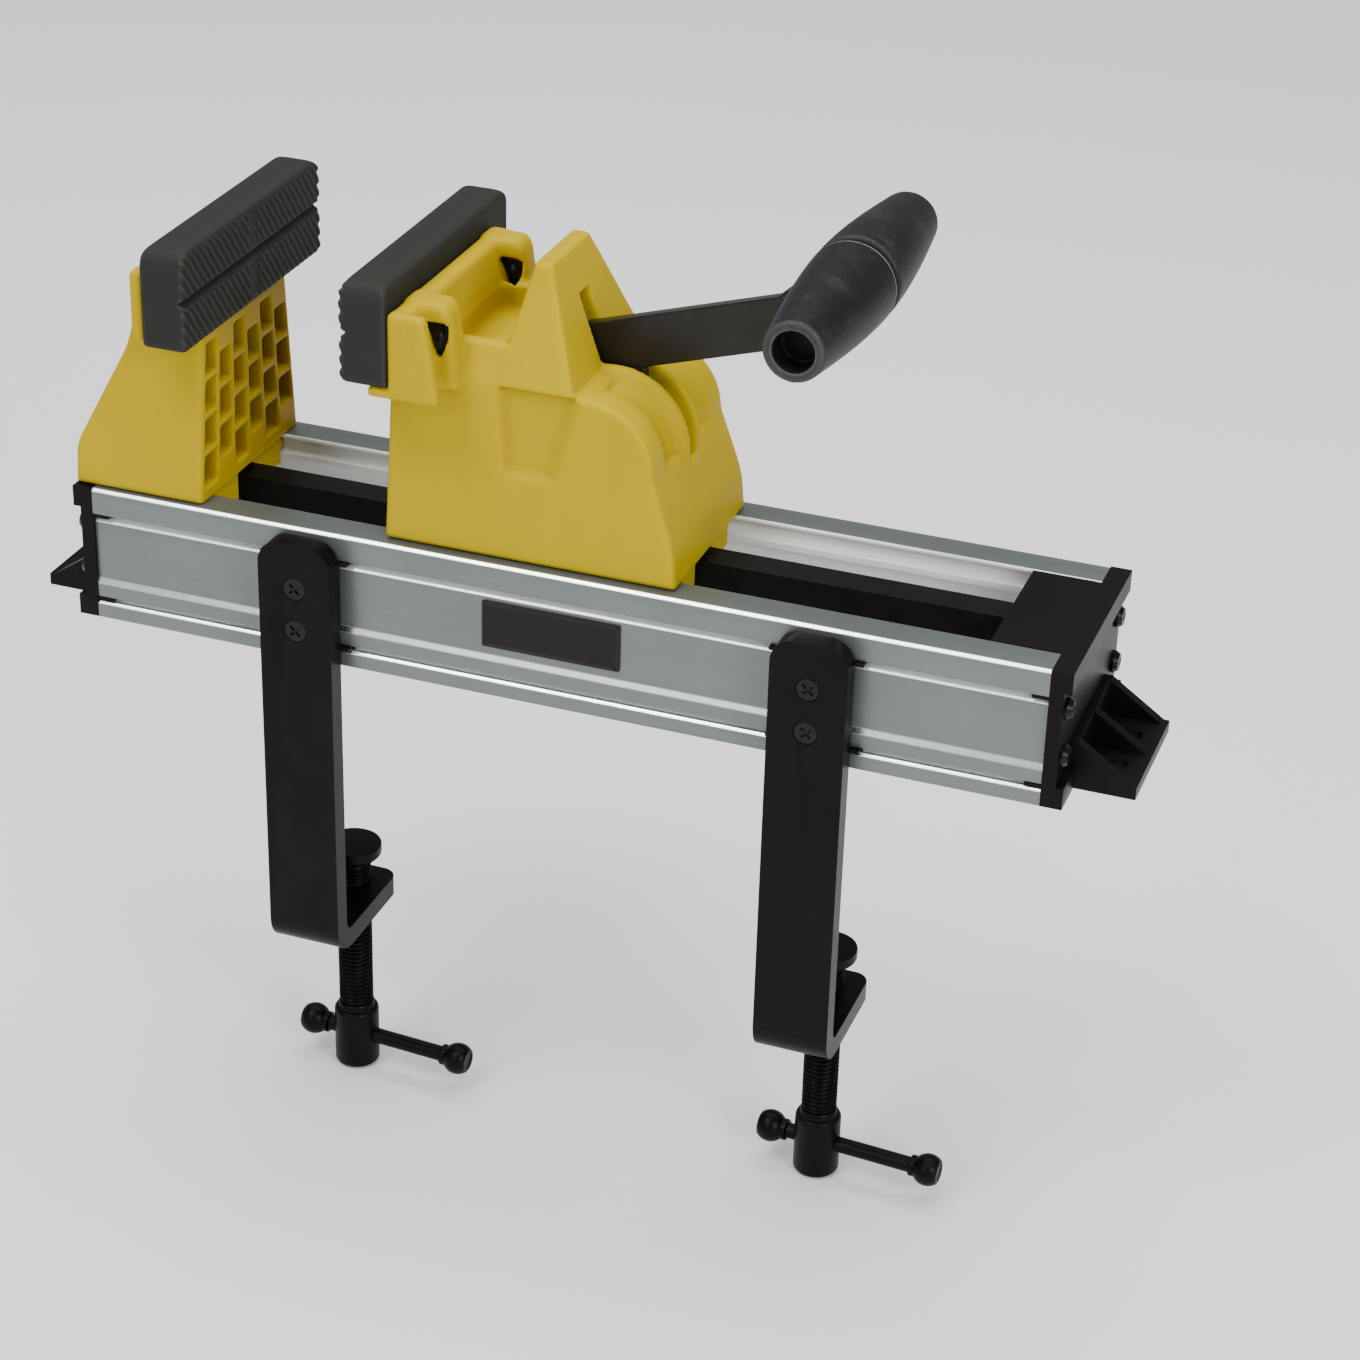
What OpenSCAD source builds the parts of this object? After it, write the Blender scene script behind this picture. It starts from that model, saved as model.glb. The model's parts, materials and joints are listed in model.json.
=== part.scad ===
/* [Rails] */
// Length of each rail
rail_len = 358; // [330:1:460]
// Height of each rail
rail_h = 52; // [50:1:60]
// Width of each rail at its top
rail_w = 13.5; // [13:0.1:16]
// Free width between the two rails
rail_gap = 57.6; // [56:0.2:70]
// Height of the upper outer lip
top_lip = 10; // [9:0.1:11]
// Height of the lower outer lip
low_lip = 6.4; // [6:0.1:7]
// Depth of the outer slots behind the lips
slot_deep = 4.6; // [4.2:0.1:5]
// Thickness of the lips in front of the slots
lip_t = 2.2; // [2:0.1:2.6]
// Mouth height of the upper outer slot
slot_mouth_hi = 1.8; // [1.6:0.1:2.2]
// Mouth height of the lower outer slot
slot_mouth_lo = 1.8; // [1.6:0.1:2.2]
// How far a slot reaches behind its lip
slot_hook = 2.4; // [2:0.1:3]
// Depth of the flat outer web behind the lips
web_in = 1.6; // [1.4:0.1:2]
// Depth of the inner running grooves
groove_in = 3.5; // [3:0.1:4]
// Height of the inner running groove
groove_h = 6; // [5:0.1:7]
// Thickness of the thin lip above the running groove
groove_lip = 1.5; // [1.2:0.1:2]

/* [End caps] */
// Thickness of the cap plate
cap_t = 7.8; // [7:0.1:10]
// Depth of the recess between the cap's upper and lower flange
cap_recess = 2.8; // [2:0.1:3.5]
// Length of the tongue between the rails
tongue_len = 24.5; // [20:0.5:30]
// Length of the tabs in the outer slots
tab_len = 6; // [4:0.5:8]
// How far the foot reaches past the cap
foot_len = 21.7; // [18:0.1:26]
// Width of the foot
foot_w = 52; // [48:1:56]
// Thickness of the foot plate
foot_t = 4.5; // [4:0.1:6]
// Height of the gussets on the cap
gusset_h = 18; // [14:0.5:22]
// Thickness of a gusset
gusset_t = 4; // [3:0.1:5]
// Diameter of the bench screw holes in the foot
foot_hole_d = 5.5; // [5:0.1:7]
// Distance between the two holes of one foot
foot_hole_gap = 22; // [20:0.5:26]
// Distance from the cap to the foot holes
foot_hole_out = 12.5; // [11:0.1:14]
// Diameter of the cap screws
cap_screw_d = 4; // [3.5:0.1:4.2]
// Height of the lower and upper cap screws
cap_screw_z = [18, 36];

/* [Lock bar] */
// Width of the lock bar
bar_w = 12; // [10:0.1:14]
// Height of the lock bar
bar_h = 34; // [28:0.5:38]
// How far the bar's top lies under the rails' top
bar_drop = 2.3; // [2:0.1:3]
// Diameter of the pins that hold the bar
bar_pin_d = 5; // [4:0.1:6]

/* [Jaw pads] */
// Length of a pad
pad_len = 110; // [100:1:120]
// Height of a pad
pad_h = 37.5; // [34:0.5:42]
// Thickness of a pad with its ribs
pad_t = 18.5; // [17:0.5:22]
// Height of the pads' lower edge over the rails
pad_rise = 64.5; // [64:0.5:70]
// Depth of the ribs on the gripping face
rib_deep = 1.6; // [1.2:0.1:2.2]
// Distance between the ribs
rib_pitch = 4; // [3:0.1:5]
// Slant of the ribs in degrees
rib_slant = 37; // [30:1:42]
// Radius of the pads' corners
pad_corner = 3; // [2:0.5:5]
// Distance between the two screws of a pad
pad_screw_gap = 64; // [56:1:72]
// Diameter of the pad screws
pad_screw_d = 5; // [4:0.1:6]
// Free distance between the pads in the shown position
jaw_open = 56; // [40:1:70]

/* [Fixed jaw] */
// Length of the fixed jaw's foot
fixed_len = 51; // [46:1:56]
// Width of both jaws
jaw_w = 76; // [72:1:80]
// Fixed jaw width at the rails
fixed_w = 80; // [76:1:84]
// Fixed jaw width under the pad
fixed_top_w = 67; // [64:1:72]
// Fixed pad screw spacing
fixed_screw_gap = 48; // [44:1:50]
// Height of the fixed jaw's upright end
fixed_step = 15; // [10:1:20]
// Number of columns of cells in the inner face
cell_cols = 6; // [5:1:8]
// Number of rows of cells in the inner face
cell_rows = 4; // [3:1:6]
// Thickness of the ribs between the cells
cell_rib = 2.4; // [2:0.1:3]
// Depth of the cells
cell_deep = 9; // [6:0.5:12]
// Diameter of the fixed jaw's screws
jaw_screw_d = 6; // [5:0.1:7]

/* [Moving jaw] */
// Length of the moving jaw's base
moving_len = 109; // [106:1:116]
// Height of the deck over the rails
deck_rise = 66; // [65:0.5:68]
// Radius of the hump at the side faces
hump_r = 25; // [24:0.5:26]
// Radius of the hump beside the lever slot
hump_mid_r = 28; // [27:0.5:29]
// Height of the lever pivot over the rails
pivot_rise = 39; // [38.5:0.1:39.5]
// Distance of the pivot from the jaw's rear lower edge
pivot_back = 34.5; // [34:0.5:36]
// Width of the lever slot
slot_w = 8; // [7.4:0.1:9]
// Width of the pad carrier
carrier_w = 106; // [96:1:110]
// Depth of the recess in the side faces
side_recess = 3.5; // [3:0.1:4]
// Narrowing of each jaw side up to the deck
side_draft = 3.5; // [2:0.1:4]
// Height of the fin over the deck
fin_h = 39; // [34:1:44]
// Height of the saddle between the pad carrier and the fin
saddle_h = 11.5; // [9:0.5:14]
// Running clearance between the moving jaw and the rails
run_gap = 0.3; // [0.25:0.05:0.5]

/* [Lever] */
// Thickness of the lever plate
lever_t = 5; // [4:0.1:6]
// Height of the lever bar
lever_h = 18.5; // [16:0.5:20]
// Distance of the lever bar's lower edge from the pivot
lever_rise = 23; // [22:0.5:25]
// Slope of the lever bar in the shown position
lever_slope = 17; // [12:1:22]
// Distance of the grip from the pivot along the bar
grip_reach = 97.4; // [90:0.2:105]
// Diameter of the pivot pin
pivot_d = 10; // [8:0.1:11]
// Radius of the cam under the pivot in the shown position
cam_r = 17; // [16.5:0.1:17.5]
// Lift of the cam for each radian of lever swing
cam_lift = 2.5; // [2:0.1:3]
// Largest diameter of the grips
grip_d = 32.5; // [30:0.5:36]
// Diameter of the grips at their ends
grip_end_d = 21.5; // [20:0.5:24]
// Length over both grips
grip_len = 133; // [120:1:144]
// Distance of the seam between the grips from the lever
grip_seam = 10; // [6:0.5:16]
// Width of the groove at the seam
seam_w = 1.4; // [1:0.1:2]
// Diameter of the open ends of the grips
grip_hole_d = 15; // [14.5:0.1:16]
// Outer diameter of the handle tube
tube_d = 13; // [12:0.1:14]
// Bore of the handle tube
tube_bore = 9; // [7:0.1:10]

/* [Brake] */
// Length of the brake shoe along the bar
shoe_len = 36; // [30:1:40]
// Thickness of the lining under the shoe
lining_t = 3; // [2:0.1:4]
// Free height between the lining and the bar in the shown position
brake_gap = 2.3; // [2.2:0.05:2.6]
// Length of each ear of the shoe
ear_len = 8; // [7:0.5:10]
// Outer diameter of the return springs
spring_d = 7; // [6:0.1:7.5]
// Wire diameter of the return springs
spring_wire = 1; // [0.8:0.1:1.2]

/* [Bench clamps] */
// Place of the left clamp along the rails
left_clamp_x = -94; // [-110:1:-80]
// Place of the right clamp along the rails
right_clamp_x = 98; // [80:1:110]
// Width of the clamp bars
clamp_w = 28; // [24:0.5:32]
// Thickness of the clamp bars
clamp_t = 8; // [6:0.1:9]
// Reach of the clamp arm behind the bar's front
clamp_arm = 55; // [50:1:62]
// Depth of the clamp below the rails
clamp_drop = 121; // [110:1:140]
// Distance of the clamp bar's top under the rails' top
clamp_top_drop = 2; // [1:0.5:5]
// Gap between the clamp bar and the rail face
clamp_off = 1.7; // [1.4:0.1:2.2]
// Distance of the clamp screw from the end of its arm
clamp_screw_end = 11; // [10:0.5:14]
// Diameter of the clamp screw
clamp_screw_d = 13.5; // [12:0.5:15]
// Pitch of the clamp screw's thread
clamp_pitch = 1.75; // [1.5:0.05:2.5]
// Depth of the thread
thread_deep = 0.9; // [0.6:0.05:1.1]
// Free depth under the rails down to the swivel pad
bench_gap = 97; // [80:1:101]
// Diameter of the swivel pad
swivel_d = 22; // [18:0.5:24]
// Thickness of the swivel pad
swivel_t = 6; // [5:0.1:7]
// Distance from the swivel pad's top to the screw head
screw_reach = 72; // [66:1:80]
// Diameter of the screw head
head_d = 17.6; // [16:0.1:19]
// Height of the screw head
head_h = 28; // [24:0.5:32]
// Diameter of the tommy bar
tommy_d = 6.2; // [5.6:0.1:7]
// Distance between the middles of a tommy bar's knobs
tommy_len = 64; // [62:1:74]
// Diameter of the knobs
knob_d = 12.6; // [11:0.1:13]
// How far the tommy bar is pushed to one side
tommy_shift = 13; // [0:1:14]
// Turn of the tommy bar in degrees
tommy_turn = -4; // [-20:1:20]
// Diameter of the screws in a clamp bar
clamp_bolt_d = 5; // [4:0.1:6]

/* [Nameplate] */
// Length of the bare nameplate
plate_len = 52; // [40:1:60]
// Height of the bare nameplate
plate_h = 18; // [14:0.5:20]
// Thickness of the bare nameplate
plate_t = 1.2; // [0.8:0.1:1.4]

/* [Fits] */
// Free play of sliding flat faces
slide_gap = 0.3; // [0.25:0.05:0.4]
// Radial play of running pins and shafts
pin_play = 0.04; // [0.02:0.01:0.08]
// Radial room round a screw
screw_play = 0.2; // [0.1:0.05:0.3]

/* [Hidden] */
$fn = 48;
over = 1;

// Colours as the object shows them
yellow = [0.98, 0.80, 0.08];
black = [0.10, 0.10, 0.11];
soft_black = [0.16, 0.16, 0.17];
alloy = [0.62, 0.65, 0.67];
steel = [0.72, 0.72, 0.74];
bronze = [0.70, 0.52, 0.28];

// Rail levels, each from the rail's own height
half_gap = rail_gap / 2;
rail_out = half_gap + rail_w;
rail_end = rail_len / 2;
hi_slot_top = rail_h - top_lip;
hi_slot_low = hi_slot_top - slot_mouth_hi;
lo_slot_low = low_lip;
lo_slot_top = low_lip + slot_mouth_lo;
ridge_in = 0.6;
ridge_h = 5.8;
web_low = lo_slot_top + ridge_h + 2.5;
web_top = hi_slot_low - 0.8;
groove_top = rail_h - groove_lip;
groove_low = groove_top - groove_h;
ledge_h = 2.8;
inner_low = 12;
port_in = (web_in + rail_w - groove_in) / 2;
port_y = rail_out - port_in;
cell_w = 3.2;
groove_draft = 0.5;

// End cap levels
cap_out = rail_end + cap_t;
cap_face = cap_out - cap_recess;
cap_flange = 8;
tongue_x = rail_end - tongue_len;
tongue_low = 12;
tongue_play = 0.3;
foot_out = cap_out + foot_len;
foot_hole_x = cap_out + foot_hole_out;
cap_head_d = 8;
cap_head_h = 2.6;
cap_screw_len = 20;
gusset_gap = foot_w / 2 - gusset_t / 2;

// Lock bar
bar_top = rail_h - bar_drop;
bar_low = bar_top - bar_h;
bar_end = rail_end - 7;
bar_pin_x = tongue_x + bar_pin_d + 0.5;
bar_pin_z = (bar_top + bar_low) / 2;
bar_pin_len = 2 * half_gap - 8;
bar_play = 0.1;

// Jaws and pads, from the left end of the rails to the right
fixed_x = -cap_out;
fixed_face = fixed_x + fixed_len;
pad_low = rail_h + pad_rise;
pad_top = pad_low + pad_h;
fixed_pad_back = fixed_face - 13;
fixed_grip = fixed_pad_back + pad_t;
moving_grip = fixed_grip + jaw_open;
moving_pad_back = moving_grip + pad_t;
pad_mid_z = pad_low + pad_h / 2;
pad_base_t = pad_t - rib_deep;
pad_screw_z = pad_low + 18.5;
pad_break = 5;
pad_groove = 3;
pad_groove_deep = 1.4;
pad_nut_w = 8;
pad_nut_t = 4;
pad_nut_in = 5;
half_jaw = jaw_w / 2;
half_deck = half_jaw - side_draft;
half_fixed = fixed_w / 2;
half_fixed_top = fixed_top_w / 2;
fixed_ledge = pad_low;
fixed_head_top = pad_low + 25;
fixed_plate_t = 5.2;
fixed_plate_up = 1.5;
fixed_plate_w = carrier_w - 2;
fixed_slope_x = 21;
fixed_head_x = 27;
fixed_slope_z = pad_low - 8.5;
keel_low = rail_h - 12;
keel_half = half_gap - 0.4;
keel_bar_half = bar_w / 2 + 0.6;
fixed_keel_x = -tongue_x + 0.5;
cell_edge = 2;
cell_margin = 4;
cell_area_low = rail_h + cell_margin;
cell_area_h = fixed_ledge - cell_margin - cell_area_low;
jaw_screw_x = -rail_end + 10;
jaw_screw_y = 18;
jaw_screw_len = 38;
jaw_head_d = 11;
jaw_head_h = 5;
jaw_screw_low = tongue_low + 14;

// Moving jaw
jaw_low = rail_h + run_gap;
deck_z = rail_h + deck_rise;
body_x0 = moving_pad_back - 9;
body_x1 = body_x0 + moving_len;
pivot_x = body_x1 - pivot_back;
pivot_z = rail_h + pivot_rise;
carrier_low = pad_low - 3.5;
carrier_top = pad_low + 26.5;
carrier_foot = 18.5;
carrier_head = 10.5;
boss_r = 11;
boss_z = pad_screw_z + 1.5;
pocket_w = 9;
valley_wall = 6;
recess_lip = 2;
valley_half = pad_screw_gap / 2 - boss_r - 2;
pocket_h = 14;
fin_top_t = 6;
fin_lean = fin_h * 0.2;
fin_back_lean = fin_h * 0.36;
fin_top_x1 = pivot_x - hump_mid_r + 8;
fin_top_x0 = fin_top_x1 - fin_top_t;
fin_foot_x0 = fin_top_x0 - fin_lean;
fin_foot_x1 = fin_top_x1 + fin_back_lean;
notch_x = fin_top_x0 - 2.5;
recess_h = deck_rise * 0.52;
recess_x1 = pivot_x - 1;
recess_x0 = recess_x1 - moving_len * 0.3;
recess_lean = 3.4;
recess_lean_back = 9;
notch_top = deck_z + 20;
fin_foot_half = 34;
fin_top_half = 17.5;
saddle_half = fin_foot_half - (fin_foot_half - fin_top_half) * saddle_h / fin_h;
half_slot = slot_w / 2;
wall_y = 11;
cavity_y = half_deck - side_recess - 3.5;
cavity_low = rail_h + 5;
cavity_open_y = 19;
shell = 6;
pocket_half = bar_w / 2 + 0.2;
keel_x0 = body_x0 + 3;
keel_x1 = body_x1 - 3;
runner_y0 = half_gap - 5;
runner_y1 = half_gap + groove_in - slide_gap;
runner_z0 = groove_low + groove_draft + slide_gap;
runner_z1 = groove_top - groove_draft - slide_gap;
runner_x0 = keel_x0 + 2;
runner_x1 = keel_x1 - 2;
runner_screw_d = 3;
runner_screw_len = 11;
runner_screw_x = [runner_x0 + 12, (runner_x0 + runner_x1) / 2, runner_x1 - 12];

// Lever and its cam
grip_rise = lever_rise + lever_h + 1.9;
hub_r = 14;
eye_r = 12;
neck_w = 16;
grip_x = pivot_x + grip_reach * cos(lever_slope) - grip_rise * sin(lever_slope);
grip_z = pivot_z + grip_reach * sin(lever_slope) + grip_rise * cos(lever_slope);
bush_wall = 1.6;
bush_flange = 3.5;
bush_r = pivot_d / 2 + pin_play + bush_wall;
pin_half = wall_y + 3.4;
clip_t = 1;
clip_y = wall_y + 0.4;
cam_from = -32;
cam_to = 62;
cam_steps = 24;
floor_slot = pivot_z - 5;
grip_gap = 0.3;
grip_lip = 1.5;
grip_steps = 12;
grip_half = grip_len / 2;
tube_in = 14;

// Brake shoe under the cam
shoe_half = bar_w / 2 - 0.3;
cam_play = 0.12;
shoe_top = pivot_z - cam_r - cam_lift * cam_lift / (2 * cam_r) - cam_play;
lining_low = bar_top + brake_gap;
shoe_low = lining_low + lining_t;
ear_t = 5;
ear_low = shoe_top - ear_t;
shoe_ledge = rail_h + 5;
spring_len = ear_low - shoe_ledge;
spring_x = shoe_len / 2 + ear_len / 2;
shoe_up = 2.4;

// Bench clamps, each drawn about its own place on the rail
clamp_front = -rail_out - clamp_off - clamp_t;
clamp_back = clamp_front + clamp_t;
clamp_top = rail_h - clamp_top_drop;
arm_end = clamp_front + clamp_arm;
screw_y = clamp_front + clamp_arm - clamp_screw_end;
clamp_bolt_z = [rail_h * 0.3, rail_h * 0.623];
bend_r = 12;
bend_in = 4;
top_round = 9;
arm_round = 6;
arc_steps = 8;
swivel_top = -bench_gap;
swivel_low = swivel_top - swivel_t;
head_top = swivel_top - screw_reach;
head_low = head_top - head_h;
tommy_z = head_top - head_h * 0.54;
neck_d = 8;
neck_in = 3.4;
slider_long = 34;
slider_short = 26;
bolt_head_d = 8.4;
bolt_head_h = 2;
bolt_len = clamp_t + clamp_off + 0.1;

// Points on an arc about (x, y), from angle a to angle b
function arc(x, y, r, a, b, n = arc_steps) =
    [for (i = [0 : n]) let (t = a + (b - a) * i / n) [x + r * cos(t), y + r * sin(t)]];

// A flat outline given as (y, z), carried along X from x0 to x1
module along_x(x0, x1) {
    translate([x0, 0, 0]) rotate([90, 0, 90]) linear_extrude(x1 - x0) children();
}

// A flat outline given as (x, z), carried along Y from y0 to y1
module along_y(y0, y1) {
    translate([0, y1, 0]) rotate([90, 0, 0]) linear_extrude(y1 - y0) children();
}

// A box between two corners
module block(low, high) {
    translate(low) cube(high - low);
}

// A round bar along X, Y or Z between two places on its axis
module bar_x(x0, x1, y, z, d) {
    translate([x0, y, z]) rotate([0, 90, 0]) cylinder(h = x1 - x0, d = d);
}
module bar_y(y0, y1, x, z, d) {
    translate([x, y1, z]) rotate([90, 0, 0]) cylinder(h = y1 - y0, d = d);
}
module bar_z(z0, z1, x, y, d) {
    translate([x, y, z0]) cylinder(h = z1 - z0, d = d);
}

module both_sides() {
    children();
    mirror([0, 1, 0]) children();
}

// Rail section as (depth from the outer face, height)
function rail_outline() = [
    [0, 0],
    [0, lo_slot_low],
    [lip_t, lo_slot_low],
    [lip_t, lo_slot_low - slot_hook],
    [slot_deep, lo_slot_low - slot_hook],
    [slot_deep, lo_slot_top],
    [ridge_in, lo_slot_top],
    [ridge_in, lo_slot_top + ridge_h],
    [web_in, web_low],
    [web_in, web_top],
    [web_in + 1, hi_slot_low],
    [slot_deep, hi_slot_low],
    [slot_deep, hi_slot_top + slot_hook],
    [lip_t, hi_slot_top + slot_hook],
    [lip_t, hi_slot_top],
    [0, hi_slot_top],
    [0, rail_h],
    [rail_w, rail_h],
    [rail_w, groove_top],
    [rail_w - groove_in, groove_top - groove_draft],
    [rail_w - groove_in, groove_low + groove_draft],
    [rail_w, groove_low],
    [rail_w, groove_low - ledge_h],
    [rail_w - groove_in, groove_low - ledge_h - groove_draft],
    [rail_w - groove_in, inner_low],
    [rail_w, inner_low - 2],
    [rail_w, 0]
];

module front_rail_body() {
    difference() {
        along_x(-rail_end, rail_end)
            translate([-rail_out, 0]) polygon(rail_outline());
        for (z = cap_screw_z)
            bar_x(-rail_end - over, rail_end + over, -port_y, z, cap_screw_d);
        block([-rail_end - over, -port_y - cell_w / 2, cap_screw_z[0] + cap_screw_d],
              [rail_end + over, -port_y + cell_w / 2, cap_screw_z[1] - cap_screw_d]);
    }
}

module front_rail() {
    color(alloy) front_rail_body();
}

module rear_rail() {
    color(alloy) mirror([0, 1, 0]) front_rail_body();
}

// Right end cap with its tongue, slot tabs and foot
module cap_tab(z0, z1, deep) {
    block([rail_end - tab_len, -rail_out + 0.4, z0 + slide_gap],
          [rail_end + over, -rail_out + deep - slide_gap, z1 - slide_gap]);
}

module cap_gusset(y) {
    along_y(y - gusset_t / 2, y + gusset_t / 2)
        polygon([
            [cap_face - over, foot_t - over],
            [foot_out - 2, foot_t - over],
            [foot_out - 2, foot_t],
            [cap_out, gusset_h],
            [cap_face - over, gusset_h]
        ]);
}

module cap_body() {
    difference() {
        union() {
            block([rail_end, -rail_out, 0], [cap_out, rail_out, rail_h]);
            block([tongue_x, -half_gap + tongue_play, tongue_low],
                  [rail_end + over, half_gap - tongue_play, rail_h]);
            both_sides() {
                block([tongue_x, half_gap - over, runner_z0],
                      [rail_end + over, runner_y1, runner_z1]);
                cap_tab(hi_slot_low, hi_slot_top, slot_deep);
                cap_tab(lo_slot_low, lo_slot_top, slot_deep);
            }
            block([cap_out - over, -foot_w / 2, 0], [foot_out, foot_w / 2, foot_t]);
            for (i = [-1, 0, 1])
                cap_gusset(i * gusset_gap);
        }
        both_sides() {
            block([cap_face, foot_w / 2, cap_flange],
                  [cap_out + over, rail_out + over, rail_h - cap_flange]);
            block([cap_face, gusset_t / 2, gusset_h],
                  [cap_out + over, foot_w / 2 + over, rail_h - cap_flange]);
            bar_z(-over, foot_t + over, foot_hole_x, foot_hole_gap / 2, foot_hole_d);
            for (z = cap_screw_z)
                bar_x(rail_end - over, cap_out + over, port_y, z, cap_screw_d + 2 * screw_play);
        }
        block([cap_face, -gusset_t / 2 - over, gusset_h],
              [cap_out + over, gusset_t / 2 + over, rail_h - cap_flange]);
        block([tongue_x - over, -bar_w / 2 - bar_play, bar_low - bar_play],
              [bar_end + bar_play, bar_w / 2 + bar_play, bar_top + bar_play]);
        bar_y(-bar_pin_len / 2, bar_pin_len / 2, bar_pin_x, bar_pin_z, bar_pin_d);
    }
}

module right_end_cap() {
    color(black) cap_body();
}

module left_end_cap() {
    color(black) difference() {
        mirror([1, 0, 0]) cap_body();
        both_sides() {
            bar_z(tongue_low - over, rail_h + over, jaw_screw_x, jaw_screw_y,
                  jaw_screw_d + 2 * screw_play);
            bar_z(tongue_low - over, jaw_screw_low, jaw_screw_x, jaw_screw_y,
                  jaw_head_d + 2 * screw_play);
        }
    }
}

// A pan head screw along X, its head towards +X at place x
module pan_screw(x, y, z) {
    difference() {
        union() {
            bar_x(x - cap_screw_len - cap_t, x, y, z, cap_screw_d);
            translate([x, y, z]) rotate([0, 90, 0]) rotate_extrude()
                polygon(concat([[0, 0], [cap_head_d / 2, 0], [cap_head_d / 2, cap_head_h * 0.4]],
                               [[cap_head_d / 2 - 1, cap_head_h], [0, cap_head_h]]));
        }
        for (turn = [0, 90])
            translate([x + cap_head_h, y, z]) rotate([turn, 0, 0])
                cube([2, cap_head_d * 0.55, 0.9], center = true);
    }
}

module cap_screw_set() {
    both_sides()
        for (z = cap_screw_z)
            pan_screw(cap_face, port_y, z);
}

module right_cap_screws() {
    color(black) cap_screw_set();
}

module left_cap_screws() {
    color(black) mirror([1, 0, 0]) cap_screw_set();
}

module lock_bar() {
    color(black) difference() {
        block([-bar_end, -bar_w / 2, bar_low], [bar_end, bar_w / 2, bar_top]);
        for (side = [-1, 1])
            bar_y(-bar_w, bar_w, side * bar_pin_x, bar_pin_z, bar_pin_d);
    }
}

module lock_bar_pins() {
    color(steel)
        for (side = [-1, 1])
            bar_y(-bar_pin_len / 2, bar_pin_len / 2, side * bar_pin_x, bar_pin_z, bar_pin_d);
}

module nameplate() {
    plate_y = -rail_out + web_in;
    plate_z = (web_low + web_top) / 2;
    color(black)
        block([-plate_len / 2, plate_y - plate_t, plate_z - plate_h / 2],
              [plate_len / 2, plate_y, plate_z + plate_h / 2]);
}

// A band of slanted ribs on the gripping face, as a toothed outline carried along the slant
module rib_band(y0, y1, z0, z1) {
    count = ceil((y1 - y0 + (z1 - z0)) / rib_pitch) + 2;
    start = (y0 + y1) / 2 * cos(rib_slant) - count * rib_pitch / 2;
    mid = (z0 + z1) / 2;
    teeth = [for (i = [0 : count - 1]) each [
        [start + (i + 0.12) * rib_pitch, 0],
        [start + (i + 0.3) * rib_pitch, rib_deep],
        [start + (i + 0.7) * rib_pitch, rib_deep],
        [start + (i + 0.88) * rib_pitch, 0]
    ]];
    ends = [[start + count * rib_pitch, -over], [start, -over]];
    intersection() {
        block([-2 * over, y0, z0], [rib_deep + over, y1, z1]);
        translate([0, 0, mid]) rotate([rib_slant, 0, 0]) translate([0, 0, -pad_h])
            linear_extrude(2 * pad_h)
                mirror([1, -1]) polygon(concat(teeth, ends));
    }
}

// Pad with its back on X = 0 and its gripping face towards +X
module pad_body(gap) {
    half = pad_len / 2;
    band_z = [pad_low + 1, pad_mid_z + pad_groove / 2];
    band_h = pad_h / 2 - pad_groove / 2 - 1;
    difference() {
        union() {
            intersection() {
                block([0, -half, pad_low], [pad_base_t, half, pad_top]);
                translate([0, 0, pad_low - over]) linear_extrude(pad_h + 2 * over)
                    polygon(concat(
                        [[-over, -half], [-over, half]],
                        arc(pad_base_t - pad_corner, half - pad_corner, pad_corner, 90, 0),
                        arc(pad_base_t - pad_corner, pad_corner - half, pad_corner, 0, -90)));
            }
            for (z = band_z)
                for (y = [pad_corner / 2 - half, pad_break / 2])
                    translate([pad_base_t, 0, 0])
                        rib_band(y, y + half - pad_corner / 2 - pad_break / 2, z, z + band_h);
        }
        along_y(-half - over, half + over) polygon([
            [pad_base_t + over, pad_mid_z - pad_groove / 2],
            [pad_base_t + over, pad_mid_z + pad_groove / 2],
            [pad_base_t - pad_groove_deep, pad_mid_z]
        ]);
        for (side = [-1, 1]) {
            bar_x(-over, pad_base_t * 0.8, side * gap / 2, pad_screw_z,
                  pad_screw_d + 2 * screw_play);
            block([pad_nut_in, side * gap / 2 - pad_nut_w / 2, pad_screw_z - pad_nut_w / 2],
                  [pad_nut_in + pad_nut_t, side * gap / 2 + pad_nut_w / 2,
                   pad_screw_z + pad_nut_w / 2]);
        }
    }
}

// Nuts moulded into a pad
module pad_nut_set(gap) {
    for (side = [-1, 1])
        difference() {
            block([pad_nut_in, side * gap / 2 - pad_nut_w / 2, pad_screw_z - pad_nut_w / 2],
                  [pad_nut_in + pad_nut_t, side * gap / 2 + pad_nut_w / 2,
                   pad_screw_z + pad_nut_w / 2]);
            bar_x(0, pad_t, side * gap / 2, pad_screw_z, pad_screw_d);
        }
}

// Screws from the carrier into a pad, the heads towards -X at the given depth
module pad_screw_set(seat, gap) {
    for (side = [-1, 1]) {
        bar_x(-seat, pad_nut_in + pad_nut_t + 2, side * gap / 2, pad_screw_z, pad_screw_d);
        difference() {
            bar_x(-seat - 3, -seat, side * gap / 2, pad_screw_z, pad_screw_d + 3);
            translate([-seat - 3, side * gap / 2, pad_screw_z])
                cube([3, pad_screw_d, 1], center = true);
        }
    }
}

module fixed_jaw_pad() {
    color(soft_black) translate([fixed_pad_back, 0, 0]) pad_body(fixed_screw_gap);
}

module fixed_pad_nuts() {
    color(steel) translate([fixed_pad_back, 0, 0]) pad_nut_set(fixed_screw_gap);
}

module fixed_pad_screws() {
    color(steel) translate([fixed_pad_back, 0, 0]) pad_screw_set(fixed_plate_t, fixed_screw_gap);
}

module moving_jaw_pad() {
    color(soft_black) translate([moving_pad_back, 0, 0]) mirror([1, 0, 0]) pad_body(pad_screw_gap);
}

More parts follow.
